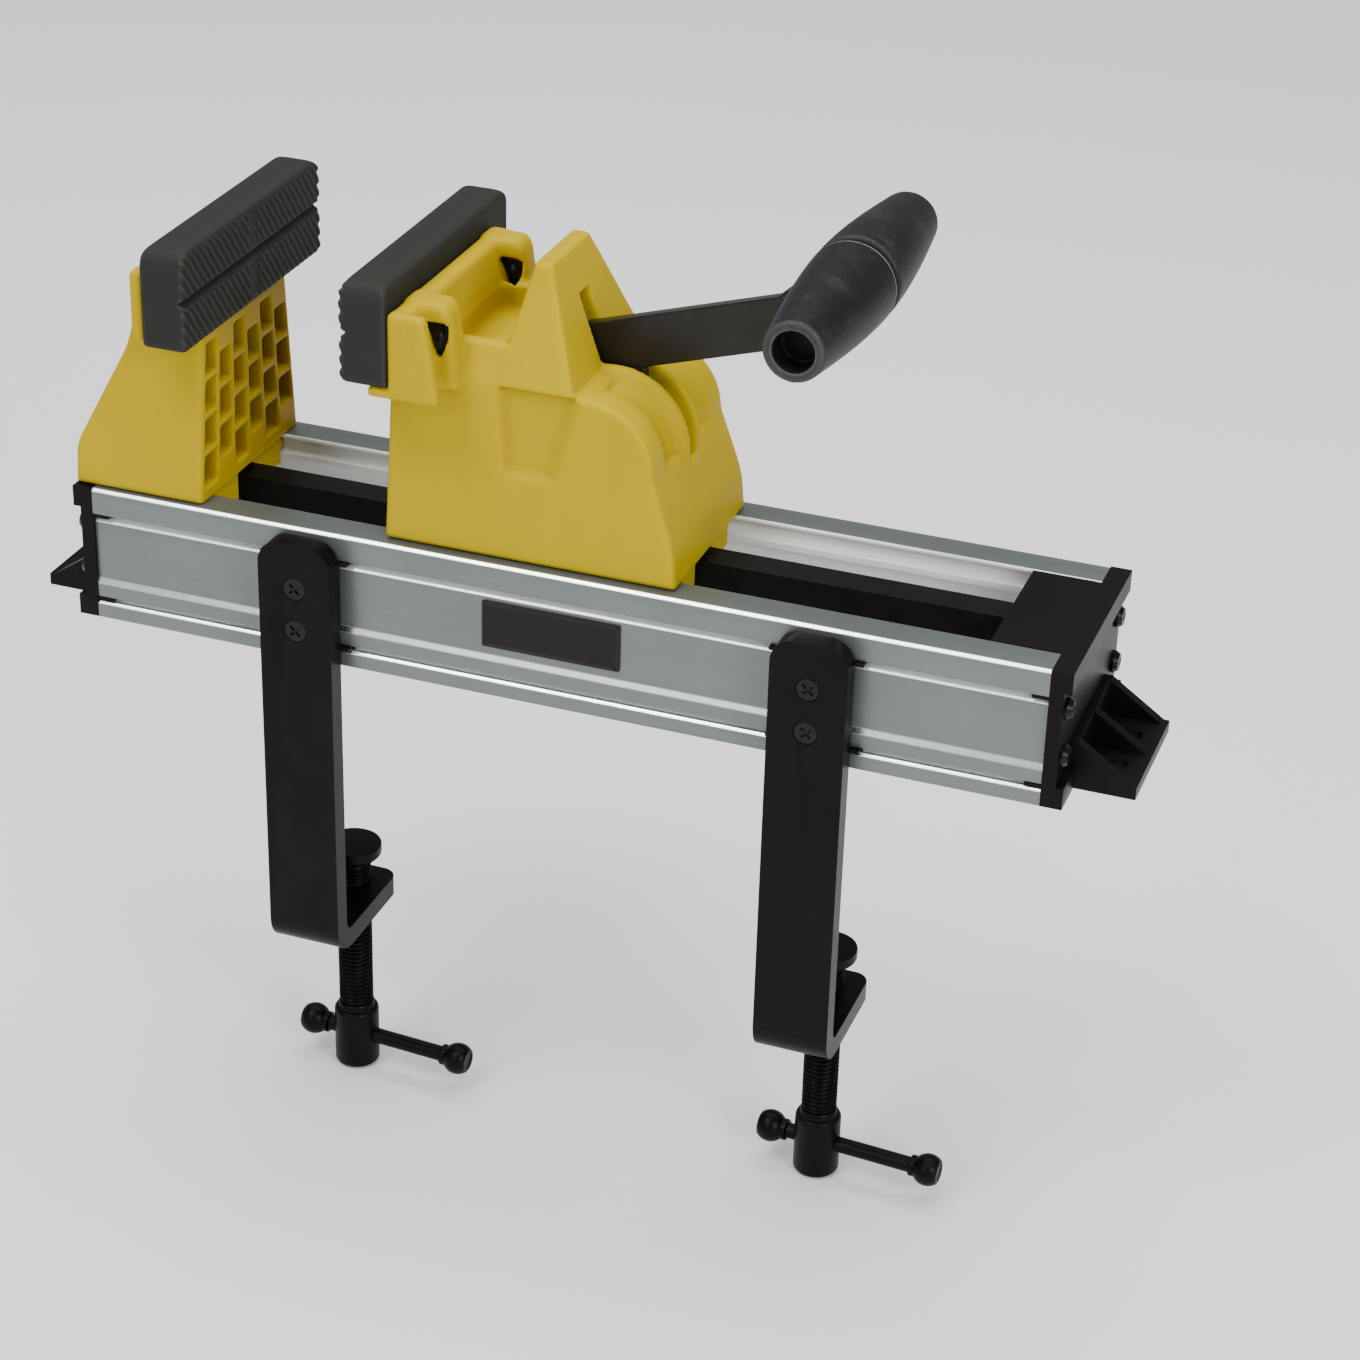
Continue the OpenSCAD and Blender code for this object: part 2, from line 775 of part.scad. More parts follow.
module moving_pad_nuts() {
    color(steel) translate([moving_pad_back, 0, 0]) mirror([1, 0, 0]) pad_nut_set(pad_screw_gap);
}

module moving_pad_screws() {
    color(steel) translate([moving_pad_back, 0, 0]) mirror([1, 0, 0])
        pad_screw_set(carrier_head - 3, pad_screw_gap);
}

// Half width of the fixed jaw at a height
function fixed_half(z) =
    half_fixed - (half_fixed - half_fixed_top) * (z - rail_h) / (fixed_ledge - rail_h);

// A point of the cell grid: share of the width, height, and a step inwards from the rib's middle
function cell_point(share, z, side) =
    [(fixed_half(z) - cell_edge) * (2 * share - 1) + side * cell_rib / 2, z];

// Staggered cells in the fixed jaw's inner face, their columns leaning with its sides
module jaw_cells() {
    pitch_z = cell_area_h / cell_rows;
    for (col = [0 : cell_cols - 1]) {
        shift = (col % 2) * pitch_z / 2;
        rows = cell_rows - (col % 2);
        for (row = [0 : rows - 1]) {
            z0 = cell_area_low + shift + row * pitch_z + cell_rib / 2;
            z1 = z0 + pitch_z - cell_rib;
            along_x(fixed_face - cell_deep, fixed_face + over) polygon([
                cell_point(col / cell_cols, z0, 1),
                cell_point((col + 1) / cell_cols, z0, -1),
                cell_point((col + 1) / cell_cols, z1, -1),
                cell_point(col / cell_cols, z1, 1)
            ]);
        }
    }
}

module fixed_jaw() {
    slope_x = fixed_x + fixed_slope_x;
    head_x = fixed_x + fixed_head_x;
    color(yellow) difference() {
        union() {
            intersection() {
                along_y(-half_fixed - over, half_fixed + over) polygon([
                    [fixed_x, rail_h],
                    [fixed_face, rail_h],
                    [fixed_face, fixed_ledge],
                    [fixed_pad_back, fixed_ledge],
                    [fixed_pad_back, fixed_head_top],
                    [head_x, fixed_head_top],
                    [slope_x, fixed_slope_z],
                    [fixed_x, rail_h + fixed_step]
                ]);
                along_x(fixed_x - over, fixed_face + over) polygon([
                    [-half_fixed, rail_h],
                    [half_fixed, rail_h],
                    [half_fixed_top, fixed_ledge],
                    [half_fixed_top, fixed_head_top + over],
                    [-half_fixed_top, fixed_head_top + over],
                    [-half_fixed_top, fixed_ledge]
                ]);
            }
            block([fixed_pad_back - fixed_plate_t, -fixed_plate_w / 2, fixed_ledge + fixed_plate_up],
                  [fixed_pad_back, fixed_plate_w / 2, fixed_head_top + 2]);
            both_sides() {
                block([fixed_keel_x, keel_bar_half, keel_low],
                      [fixed_face - 2, keel_half, rail_h + over]);
                block([fixed_keel_x, half_gap - over, runner_z0],
                      [fixed_face - 2, runner_y1, runner_z1]);
            }
        }
        jaw_cells();
        for (side = [-1, 1]) {
            bar_x(fixed_x, fixed_pad_back + over, side * fixed_screw_gap / 2, pad_screw_z,
                  pad_screw_d + 2 * screw_play);
            bar_x(fixed_x, fixed_pad_back - fixed_plate_t, side * fixed_screw_gap / 2,
                  pad_screw_z, pad_screw_d + 4);
            bar_z(rail_h - over, jaw_screw_low + jaw_screw_len, jaw_screw_x, side * jaw_screw_y,
                  jaw_screw_d);
        }
        both_sides()
            block([fixed_x + 6, 5, rail_h - over],
                  [fixed_face - cell_deep - 4, jaw_screw_y - 7, rail_h + fixed_step]);
    }
}

module fixed_jaw_screws() {
    color(steel)
        for (side = [-1, 1]) {
            bar_z(jaw_screw_low, jaw_screw_low + jaw_screw_len, jaw_screw_x,
                  side * jaw_screw_y, jaw_screw_d);
            difference() {
                bar_z(jaw_screw_low - jaw_head_h, jaw_screw_low, jaw_screw_x,
                      side * jaw_screw_y, jaw_head_d);
                translate([jaw_screw_x, side * jaw_screw_y, jaw_screw_low - jaw_head_h - over])
                    cylinder(h = jaw_head_h * 0.6 + over, d = jaw_screw_d, $fn = 6);
            }
        }
}

// Outer form of the moving jaw: body, hump, fin and pad carrier
module moving_jaw_outer() {
    intersection() {
        union() {
            along_y(-half_jaw - over, half_jaw + over) polygon([
                [body_x0, jaw_low],
                [body_x1, jaw_low],
                [body_x1 - 0.9, rail_h + 14],
                [pivot_x + hump_r, pivot_z],
                [pivot_x, pivot_z],
                [pivot_x, deck_z],
                [moving_pad_back + carrier_foot - 3, deck_z],
                [moving_pad_back + 2, deck_z - 3],
                [body_x0 + 1.5, carrier_low]
            ]);
            bar_y(-half_jaw - over, half_jaw + over, pivot_x, pivot_z, 2 * hump_r);
            for (turn = [-90, 90])
                translate([pivot_x, 0, pivot_z]) rotate([turn, 0, 0])
                    cylinder(h = half_deck - 1.5, r1 = hump_mid_r, r2 = hump_r);
        }
        along_x(body_x0 - over, body_x1 + over) polygon([
            [-half_jaw, jaw_low],
            [half_jaw, jaw_low],
            [half_deck, deck_z],
            [half_deck, deck_z + hump_mid_r],
            [-half_deck, deck_z + hump_mid_r],
            [-half_deck, deck_z]
        ]);
    }
    intersection() {
        along_y(-fin_foot_half, fin_foot_half) polygon([
            [fin_foot_x0, deck_z - over],
            [fin_top_x0, deck_z + fin_h],
            [fin_top_x1, deck_z + fin_h],
            [fin_foot_x1, deck_z - over]
        ]);
        along_x(fin_foot_x0 - over, fin_foot_x1 + over) polygon([
            [-fin_foot_half, deck_z - over],
            [-fin_top_half, deck_z + fin_h],
            [fin_top_half, deck_z + fin_h],
            [fin_foot_half, deck_z - over]
        ]);
    }
    along_x(moving_pad_back + valley_wall, fin_top_x0) polygon([
        [-fin_foot_half, deck_z - over],
        [-saddle_half, deck_z + saddle_h],
        [saddle_half, deck_z + saddle_h],
        [fin_foot_half, deck_z - over]
    ]);
    along_y(-carrier_w / 2, carrier_w / 2) polygon([
        [body_x0 + 1.5, carrier_low],
        [moving_pad_back + carrier_foot, carrier_low],
        [moving_pad_back + carrier_head, carrier_top],
        [moving_pad_back, carrier_top],
        [moving_pad_back, pad_low - 0.2],
        [body_x0 + 1.5, pad_low - 0.2]
    ]);
    for (side = [-1, 1])
        bar_x(moving_pad_back, moving_pad_back + carrier_foot, side * pad_screw_gap / 2, boss_z,
              2 * boss_r);
    both_sides()
        block([keel_x0, keel_bar_half, keel_low], [keel_x1, keel_half, jaw_low + over]);
}

// Room for the lever, its cam and the brake shoe
module lever_room() {
    along_y(-half_slot, half_slot) polygon([
        [pivot_x - 20, pivot_z - 20],
        [pivot_x + 22, pivot_z - 20],
        [pivot_x + 22, floor_slot],
        [body_x1 + 20, floor_slot],
        [body_x1 + 20, deck_z + fin_h + over],
        [notch_x, notch_top],
        [notch_x, deck_z - 4]
    ]);
    block([pivot_x - shoe_len / 2 - ear_len - 1, -pocket_half, shoe_ledge],
          [pivot_x + shoe_len / 2 + ear_len + 1, pocket_half, shoe_top + shoe_up + 1]);
    block([pivot_x - shoe_len / 2 - slide_gap, -pocket_half, jaw_low - over],
          [pivot_x + shoe_len / 2 + slide_gap, pocket_half, shoe_ledge + over]);
}

// Hollow on one side of the lever walls, open from below
module jaw_cavity() {
    along_y(wall_y, cavity_y) polygon(concat(
        [
            [body_x0 + shell, cavity_low],
            [body_x1 - shell, cavity_low],
            [body_x1 - shell - 0.9, rail_h + 14]
        ],
        arc(pivot_x, pivot_z, hump_r - shell, 0, 90),
        [
            [moving_pad_back + carrier_foot - 3, deck_z - shell],
            [body_x0 + shell + 1.5, carrier_low - shell]
        ]));
    block([body_x0 + shell, wall_y, keel_low - over],
          [body_x1 - shell, cavity_open_y, cavity_low + over]);
}

// Recess in one side face, wide at the top
module jaw_side_recess() {
    along_y(-half_jaw - over, side_recess - half_deck) polygon([
        [recess_x0, deck_z - recess_lip],
        [recess_x0 + recess_lean, deck_z - recess_h],
        [recess_x1 - recess_lean_back, deck_z - recess_h],
        [recess_x1, deck_z - recess_lip]
    ]);
}

module moving_jaw() {
    color(yellow) difference() {
        moving_jaw_outer();
        lever_room();
        both_sides() {
            jaw_cavity();
            jaw_side_recess();
            block([runner_x0 - slide_gap, runner_y0 - slide_gap, runner_z0],
                  [runner_x1 + slide_gap, half_gap + over, runner_z1]);
            for (x = runner_screw_x)
                bar_y(runner_y0 - runner_screw_len, half_gap, x, (runner_z0 + runner_z1) / 2,
                      runner_screw_d);
            bar_y(half_slot - over, wall_y + over, pivot_x, pivot_z, 2 * bush_r);
        }
        block([moving_pad_back + valley_wall, -valley_half, deck_z + saddle_h],
              [moving_pad_back + carrier_foot + over, valley_half, carrier_top + over]);
        for (side = [-1, 1]) {
            bar_x(moving_pad_back - over, moving_pad_back + carrier_foot + over,
                  side * pad_screw_gap / 2, pad_screw_z, pad_screw_d + 2 * screw_play);
            block([moving_pad_back + carrier_head - 3, side * pad_screw_gap / 2 - pocket_w / 2,
                   pad_screw_z - pocket_h / 2],
                  [moving_pad_back + carrier_foot + over, side * pad_screw_gap / 2 + pocket_w / 2,
                   pad_screw_z + pocket_h / 2]);
        }
    }
}

// A runner strip that rides in the rail groove
module runner_body() {
    difference() {
        block([runner_x0, runner_y0, runner_z0 + 0.05], [runner_x1, runner_y1, runner_z1 - 0.05]);
        for (x = runner_screw_x) {
            bar_y(runner_y0 - over, runner_y1 + over, x, (runner_z0 + runner_z1) / 2,
                  runner_screw_d + 2 * screw_play);
            bar_y(runner_y1 - 3, runner_y1 + over, x, (runner_z0 + runner_z1) / 2, runner_screw_d + 1.4);
        }
    }
}

module rear_runner() {
    color(soft_black) runner_body();
}

module front_runner() {
    color(soft_black) mirror([0, 1, 0]) runner_body();
}

module runner_screws() {
    color(steel) both_sides()
        for (x = runner_screw_x) {
            bar_y(runner_y0 - runner_screw_len + 2, runner_y1 - 3, x, (runner_z0 + runner_z1) / 2,
                  runner_screw_d);
            bar_y(runner_y1 - 3, runner_y1 - 1, x, (runner_z0 + runner_z1) / 2, runner_screw_d + 1);
        }
}

module pivot_pin() {
    color(steel) difference() {
        bar_y(-pin_half, pin_half, pivot_x, pivot_z, pivot_d);
        both_sides()
            translate([pivot_x, clip_y + clip_t, pivot_z]) rotate([90, 0, 0])
                rotate_extrude() translate([pivot_d / 2 - 0.8, 0]) square([2, clip_t]);
    }
}

module pivot_bushes() {
    inner = lever_t / 2 + 0.3;
    color(bronze) both_sides()
        difference() {
            union() {
                bar_y(half_slot, wall_y, pivot_x, pivot_z, 2 * bush_r);
                bar_y(inner, half_slot, pivot_x, pivot_z, 2 * (bush_r + bush_flange));
            }
            bar_y(inner - over, wall_y + over, pivot_x, pivot_z, pivot_d + 2 * pin_play);
        }
}

module pivot_clips() {
    color(steel) both_sides()
        difference() {
            bar_y(clip_y, clip_y + clip_t, pivot_x, pivot_z, pivot_d + 4);
            bar_y(clip_y - over, clip_y + clip_t + over, pivot_x, pivot_z, pivot_d - 1.6);
            block([pivot_x - 2, clip_y - over, pivot_z], [pivot_x + 2, clip_y + clip_t + over,
                                                          pivot_z + pivot_d]);
        }
}

// Return springs, drawn as plain sleeves because they are hidden under the shoe's ears
module return_springs() {
    color(steel)
        for (side = [-1, 1])
            translate([pivot_x + side * spring_x, 0, shoe_ledge + 0.05])
                difference() {
                    cylinder(h = spring_len - 0.1, d = spring_d);
                    translate([0, 0, -over])
                        cylinder(h = spring_len + 2 * over, d = spring_d - 2 * spring_wire);
                }
}

// Spiral cam under the pivot, its radius growing evenly with the angle
function cam_points() =
    [for (i = [0 : cam_steps])
        let (t = cam_from + (cam_to - cam_from) * i / cam_steps)
        let (r = cam_r + cam_lift * t * PI / 180)
        [r * sin(t), -r * cos(t)]];

// Lever bar outline in the bar's own slope, about the pivot
function bar_outline() = concat(
    [
        [-2, lever_rise + lever_h],
        [-2, 0],
        [hub_r * 0.8, 0],
        [neck_w, lever_rise]
    ],
    [
        [grip_reach - eye_r - 16, lever_rise],
        [grip_reach + eye_r * 0.3, grip_rise - eye_r * 0.75],
        [grip_reach, grip_rise],
        [grip_reach - eye_r * 0.3, grip_rise + eye_r * 0.75],
        [grip_reach - eye_r - 14, lever_rise + lever_h]
    ]);

module lever_arm() {
    half = lever_t / 2;
    color(black) difference() {
        translate([pivot_x, 0, pivot_z]) along_y(-half, half) {
            polygon(concat([[0, 0]], cam_points()));
            circle(r = hub_r);
            rotate(lever_slope) {
                polygon(bar_outline());
                translate([grip_reach, grip_rise]) circle(r = eye_r);
            }
        }
        bar_y(-lever_t, lever_t, pivot_x, pivot_z, pivot_d + 2 * pin_play);
        bar_y(-lever_t, lever_t, grip_x, grip_z, tube_d);
    }
}

module handle_tube() {
    color(steel) difference() {
        bar_y(-grip_half + tube_in, grip_half - tube_in, grip_x, grip_z, tube_d);
        bar_y(-grip_half, grip_half, grip_x, grip_z, tube_bore);
    }
}

// Radius of the handle at a distance from the lever
function grip_r(y) =
    let (s = abs(y) / (grip_half - grip_lip))
    grip_d / 2 - (grip_d - grip_end_d) / 2 * s * s * (3 - s) / 2;

// A grip from its seam to the open end of the handle, turned about the tube
module grip_body(seam) {
    reach = grip_half - grip_lip - seam - grip_lip;
    outline = concat(
        [[tube_d / 2, seam], [grip_r(seam) - grip_lip, seam]],
        [for (i = [0 : grip_steps]) let (y = seam + grip_lip + reach * i / grip_steps) [grip_r(y), y]],
        [
            [grip_end_d / 2 - grip_lip, grip_half],
            [grip_hole_d / 2, grip_half],
            [grip_hole_d / 2, grip_half - tube_in],
            [tube_d / 2, grip_half - tube_in]
        ]);
    rotate([-90, 0, 0]) rotate_extrude() polygon(outline);
}

module rear_grip() {
    color(soft_black) translate([grip_x, 0, grip_z]) grip_body(grip_seam + seam_w / 2);
}

// The front grip goes round the lever's eye, with a slot for the bar
module front_grip() {
    slot = lever_t / 2 + grip_gap;
    color(soft_black) difference() {
        translate([grip_x, 0, grip_z]) mirror([0, 1, 0]) grip_body(-grip_seam + seam_w / 2);
        translate([pivot_x, 0, pivot_z]) along_y(-slot, slot) rotate(lever_slope) {
            translate([grip_reach, grip_rise]) circle(r = eye_r + grip_gap);
            polygon([
                [grip_reach - grip_d, lever_rise - grip_gap],
                [grip_reach, grip_rise - eye_r],
                [grip_reach, grip_rise + eye_r * 0.9],
                [grip_reach - grip_d, lever_rise + lever_h + grip_gap]
            ]);
        }
    }
}

module brake_shoe() {
    color(steel) {
        block([pivot_x - shoe_len / 2, -shoe_half, shoe_low],
              [pivot_x + shoe_len / 2, shoe_half, shoe_top]);
        block([pivot_x - shoe_len / 2 - ear_len, -shoe_half, ear_low],
              [pivot_x + shoe_len / 2 + ear_len, shoe_half, shoe_top]);
    }
}

module brake_lining() {
    color(soft_black)
        block([pivot_x - shoe_len / 2, -shoe_half, lining_low],
              [pivot_x + shoe_len / 2, shoe_half, shoe_low]);
}

// Square corner block minus its round, for cutting a rounded corner along Y or Z
module corner_round(r, h) {
    difference() {
        cube([r + over, r + over, h]);
        translate([0, 0, -over]) cylinder(h = h + 2 * over, r = r);
    }
}

// Clamp bar: a flat bar bent at its foot into an arm
module clamp_bar_body() {
    outline = concat(
        [[clamp_front, clamp_top], [clamp_back, clamp_top]],
        arc(clamp_back + bend_in, clamp_t + bend_in - clamp_drop, bend_in, 180, 270),
        [[arm_end, clamp_t - clamp_drop], [arm_end, -clamp_drop]],
        arc(clamp_front + bend_r, bend_r - clamp_drop, bend_r, 270, 180));
    half = clamp_w / 2;
    difference() {
        along_x(-half, half) polygon(outline);
        for (side = [-1, 1]) {
            scale_x = side < 0 ? 1 : 0;
            mirror([scale_x, 0, 0]) {
                translate([half - top_round, clamp_back + over, clamp_top - top_round])
                    rotate([90, 0, 0]) corner_round(top_round, clamp_t + 2 * over);
                translate([half - arm_round, arm_end - arm_round, -clamp_drop - over])
                    corner_round(arm_round, clamp_t + 2 * over);
            }
        }
        bar_z(-clamp_drop - over, clamp_t - clamp_drop + over, 0, screw_y,
              clamp_screw_d + 2 * pin_play);
        for (z = clamp_bolt_z) {
            bar_y(clamp_front - over, clamp_back + over, 0, z, clamp_bolt_d + 2 * screw_play);
            bar_y(clamp_front - over, clamp_front + bolt_head_h + 0.4, 0, z,
                  bolt_head_d + 2 * screw_play);
        }
    }
}

// Slider behind a clamp bar, hooked into both outer slots of the front rail
module clamp_slider_body() {
    hook_u0 = lip_t + slide_gap;
    hook_u1 = slot_deep - slide_gap;
    difference() {
        union() {
            along_x(-slider_short / 2, slider_short / 2) translate([-rail_out, 0]) polygon([
                [-clamp_off, lo_slot_low + slide_gap],
                [ridge_in - slide_gap, lo_slot_low + slide_gap],
                [ridge_in - slide_gap, lo_slot_top + ridge_h + 0.4],
                [web_in - slide_gap, web_low + 0.4],
                [web_in - slide_gap, hi_slot_top - slide_gap],
                [-clamp_off, hi_slot_top - slide_gap]
            ]);
            along_x(-slider_long / 2, slider_long / 2) translate([-rail_out, 0]) {
                polygon([
                    [-clamp_off, lo_slot_low + slide_gap],
                    [hook_u0, lo_slot_low + slide_gap],
                    [hook_u0, lo_slot_low - slot_hook + slide_gap],
                    [hook_u1, lo_slot_low - slot_hook + slide_gap],
                    [hook_u1, lo_slot_top - slide_gap],
                    [-clamp_off, lo_slot_top - slide_gap]
                ]);
                polygon([
                    [-clamp_off, hi_slot_low + slide_gap],
                    [hook_u1, hi_slot_low + slide_gap],
                    [hook_u1, hi_slot_top + slot_hook - slide_gap],
                    [hook_u0, hi_slot_top + slot_hook - slide_gap],
                    [hook_u0, hi_slot_top - slide_gap],
                    [-clamp_off, hi_slot_top - slide_gap]
                ]);
            }
        }
        for (z = clamp_bolt_z)
            bar_y(-rail_out - clamp_t, -rail_out + slot_deep, 0, z, clamp_bolt_d);
    }
}

module clamp_bolt_set() {
    for (z = clamp_bolt_z) {
        bar_y(clamp_front + bolt_head_h, clamp_front + bolt_len, 0, z, clamp_bolt_d);
        difference() {
            bar_y(clamp_front + 0.2, clamp_front + bolt_head_h, 0, z, bolt_head_d);
            for (turn = [45, 135])
                translate([0, clamp_front + 0.2, z]) rotate([0, turn, 0])
                    cube([bolt_head_d * 0.6, 1.6, 1], center = true);
        }
    }
}

module swivel_pad_body() {
    translate([0, screw_y, 0]) difference() {
        rotate_extrude() polygon([
            [0, swivel_low],
            [swivel_d / 2 - 2, swivel_low],
            [swivel_d / 2, swivel_low + 2],
            [swivel_d / 2, swivel_top],
            [0, swivel_top]
        ]);
        translate([0, 0, swivel_low - over]) cylinder(h = neck_in + over, d = neck_d + 2 * pin_play);
    }
}

// Clamp screw: neck in the swivel pad, thread drawn as even rings, head drilled for the bar
module clamp_screw_body() {
    crest = clamp_screw_d / 2;
    root = crest - thread_deep;
    thread_top = swivel_low - 1.2;
    thread_low = head_top + 3;
    turns = floor((thread_top - thread_low) / clamp_pitch);
    rings = [for (i = [0 : turns - 1]) each [
        [root, thread_low + (i + 0.05) * clamp_pitch],
        [crest, thread_low + (i + 0.4) * clamp_pitch],
        [crest, thread_low + (i + 0.6) * clamp_pitch],
        [root, thread_low + (i + 0.95) * clamp_pitch]
    ]];
    outline = concat(
        [
            [0, head_low],
            [head_d / 2 - 1, head_low],
            [head_d / 2, head_low + 1],
            [head_d / 2, head_top - 1.5],
            [head_d / 2 - 1.5, head_top],
            [root, head_top]
        ],
        rings,
        [
            [root, thread_top],
            [neck_d / 2, thread_top],
            [neck_d / 2, swivel_low + neck_in - slide_gap],
            [0, swivel_low + neck_in - slide_gap]
        ]);
    translate([0, screw_y, 0]) difference() {
        rotate_extrude() polygon(outline);
        rotate([0, 0, tommy_turn])
            bar_x(-head_d, head_d, 0, tommy_z, tommy_d + 2 * pin_play);
    }
}

module on_tommy_axis() {
    translate([0, screw_y, 0]) rotate([0, 0, tommy_turn])
        translate([tommy_shift, 0, tommy_z]) children();
}

module tommy_bar_body() {
    on_tommy_axis() bar_x(-tommy_len / 2, tommy_len / 2, 0, 0, tommy_d);
}

// A pair of round knobs, each with a short collar, drilled for the bar
module tommy_knob_set() {
    on_tommy_axis()
        for (turn = [0, 180])
            rotate([0, 0, turn]) difference() {
                union() {
                    translate([tommy_len / 2, 0, 0]) sphere(d = knob_d);
                    bar_x(tommy_len / 2 - knob_d / 2 - 1, tommy_len / 2, 0, 0, tommy_d + 2.4);
                }
                bar_x(0, tommy_len / 2, 0, 0, tommy_d);
            }
}

module left_clamp_bar() {
    color(black) translate([left_clamp_x, 0, 0]) clamp_bar_body();
}

module left_clamp_slider() {
    color(soft_black) translate([left_clamp_x, 0, 0]) clamp_slider_body();
}

module left_clamp_bolts() {
    color(black) translate([left_clamp_x, 0, 0]) clamp_bolt_set();
}

module left_swivel_pad() {
    color(black) translate([left_clamp_x, 0, 0]) swivel_pad_body();
}

module left_clamp_screw() {
    color(black) translate([left_clamp_x, 0, 0]) clamp_screw_body();
}

module left_tommy_bar() {
    color(black) translate([left_clamp_x, 0, 0]) tommy_bar_body();
}

module left_tommy_knobs() {
    color(black) translate([left_clamp_x, 0, 0]) tommy_knob_set();
}

module right_clamp_bar() {
    color(black) translate([right_clamp_x, 0, 0]) clamp_bar_body();
}

module right_clamp_slider() {
    color(soft_black) translate([right_clamp_x, 0, 0]) clamp_slider_body();
}

module right_clamp_bolts() {
    color(black) translate([right_clamp_x, 0, 0]) clamp_bolt_set();
}

module right_swivel_pad() {
    color(black) translate([right_clamp_x, 0, 0]) swivel_pad_body();
}

module right_clamp_screw() {
    color(black) translate([right_clamp_x, 0, 0]) clamp_screw_body();
}

module right_tommy_bar() {
    color(black) translate([right_clamp_x, 0, 0]) tommy_bar_body();
}

module right_tommy_knobs() {
    color(black) translate([right_clamp_x, 0, 0]) tommy_knob_set();
}

front_rail();
rear_rail();
left_end_cap();
right_end_cap();
left_cap_screws();
right_cap_screws();
lock_bar();
lock_bar_pins();
nameplate();
fixed_jaw();
fixed_jaw_screws();
fixed_jaw_pad();
fixed_pad_nuts();
fixed_pad_screws();
moving_jaw();
moving_jaw_pad();
moving_pad_nuts();
moving_pad_screws();
front_runner();
rear_runner();
runner_screws();
pivot_pin();
pivot_bushes();
pivot_clips();
return_springs();
lever_arm();
handle_tube();
front_grip();
rear_grip();
brake_shoe();
brake_lining();
left_clamp_bar();
left_clamp_slider();
left_clamp_bolts();
left_swivel_pad();
left_clamp_screw();
left_tommy_bar();
left_tommy_knobs();
right_clamp_bar();
right_clamp_slider();
right_clamp_bolts();
right_swivel_pad();
right_clamp_screw();
right_tommy_bar();
right_tommy_knobs();
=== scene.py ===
"""Dressed model of a quick-release bench vise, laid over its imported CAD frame.

Sizes are in millimetres and become metres when a mesh is filled. Moulded pieces are worked out as signed
distances on a grid and skinned, turned and drawn pieces are surfaces of two parameters, and the plain
hardware is the CAD node's own mesh, merged, with its edges broken.
"""
import json
import logging
import math
from dataclasses import dataclass
from enum import Enum
from itertools import combinations, product
from typing import TypeAlias

import bmesh
import bpy
import numpy as np
from mathutils import Matrix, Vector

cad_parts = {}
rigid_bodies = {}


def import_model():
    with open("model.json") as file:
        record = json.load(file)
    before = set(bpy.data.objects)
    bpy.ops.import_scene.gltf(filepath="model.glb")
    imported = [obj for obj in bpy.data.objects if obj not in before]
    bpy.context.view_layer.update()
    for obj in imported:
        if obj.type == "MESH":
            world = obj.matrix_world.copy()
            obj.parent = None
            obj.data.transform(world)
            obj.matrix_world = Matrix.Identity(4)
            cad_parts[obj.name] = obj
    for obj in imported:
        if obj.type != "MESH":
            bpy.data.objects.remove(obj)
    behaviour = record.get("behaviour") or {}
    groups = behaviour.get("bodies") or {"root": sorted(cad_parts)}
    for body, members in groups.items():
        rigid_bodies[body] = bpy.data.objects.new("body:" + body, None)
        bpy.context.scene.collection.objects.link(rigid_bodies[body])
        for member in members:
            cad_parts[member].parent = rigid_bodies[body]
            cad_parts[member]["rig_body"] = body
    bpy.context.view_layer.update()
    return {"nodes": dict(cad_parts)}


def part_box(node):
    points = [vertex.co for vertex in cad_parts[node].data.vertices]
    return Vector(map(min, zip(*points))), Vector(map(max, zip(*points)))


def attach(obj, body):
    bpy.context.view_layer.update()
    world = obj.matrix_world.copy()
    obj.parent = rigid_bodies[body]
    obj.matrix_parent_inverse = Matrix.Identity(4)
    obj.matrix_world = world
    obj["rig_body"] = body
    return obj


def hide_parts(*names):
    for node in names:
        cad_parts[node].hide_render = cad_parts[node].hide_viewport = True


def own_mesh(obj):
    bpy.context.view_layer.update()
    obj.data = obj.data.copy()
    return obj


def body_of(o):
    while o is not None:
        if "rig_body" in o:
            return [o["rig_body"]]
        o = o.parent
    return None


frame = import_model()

LOG = logging.getLogger("vise")
MM = 0.001
Array = np.ndarray
Point = tuple[float, float, float]
Tone = tuple[int, int, int]
Colour = tuple[float, float, float, float]
Value: TypeAlias = "Wire | float"


class Axis(Enum):
    """One axis of the frame."""

    X = 0
    Y = 1
    Z = 2


class Side(Enum):
    """The two ends of the vise, with the sign of X."""

    LEFT = -1
    RIGHT = 1

    @property
    def word(self) -> str:
        """The side's name as the nodes spell it."""
        return self.name.lower()


def srgb(tone: Tone) -> Colour:
    """Turn display colour numbers, from 0 to 255, into a linear colour.

    Args:
        tone: Red, green and blue.

    Returns:
        The linear colour with full alpha.
    """
    share = np.array(tone) / 255
    linear = np.where(share <= 0.04045, share / 12.92, ((share + 0.055) / 1.055) ** 2.4)
    return (*linear.tolist(), 1.0)


# Shader values and node sheets


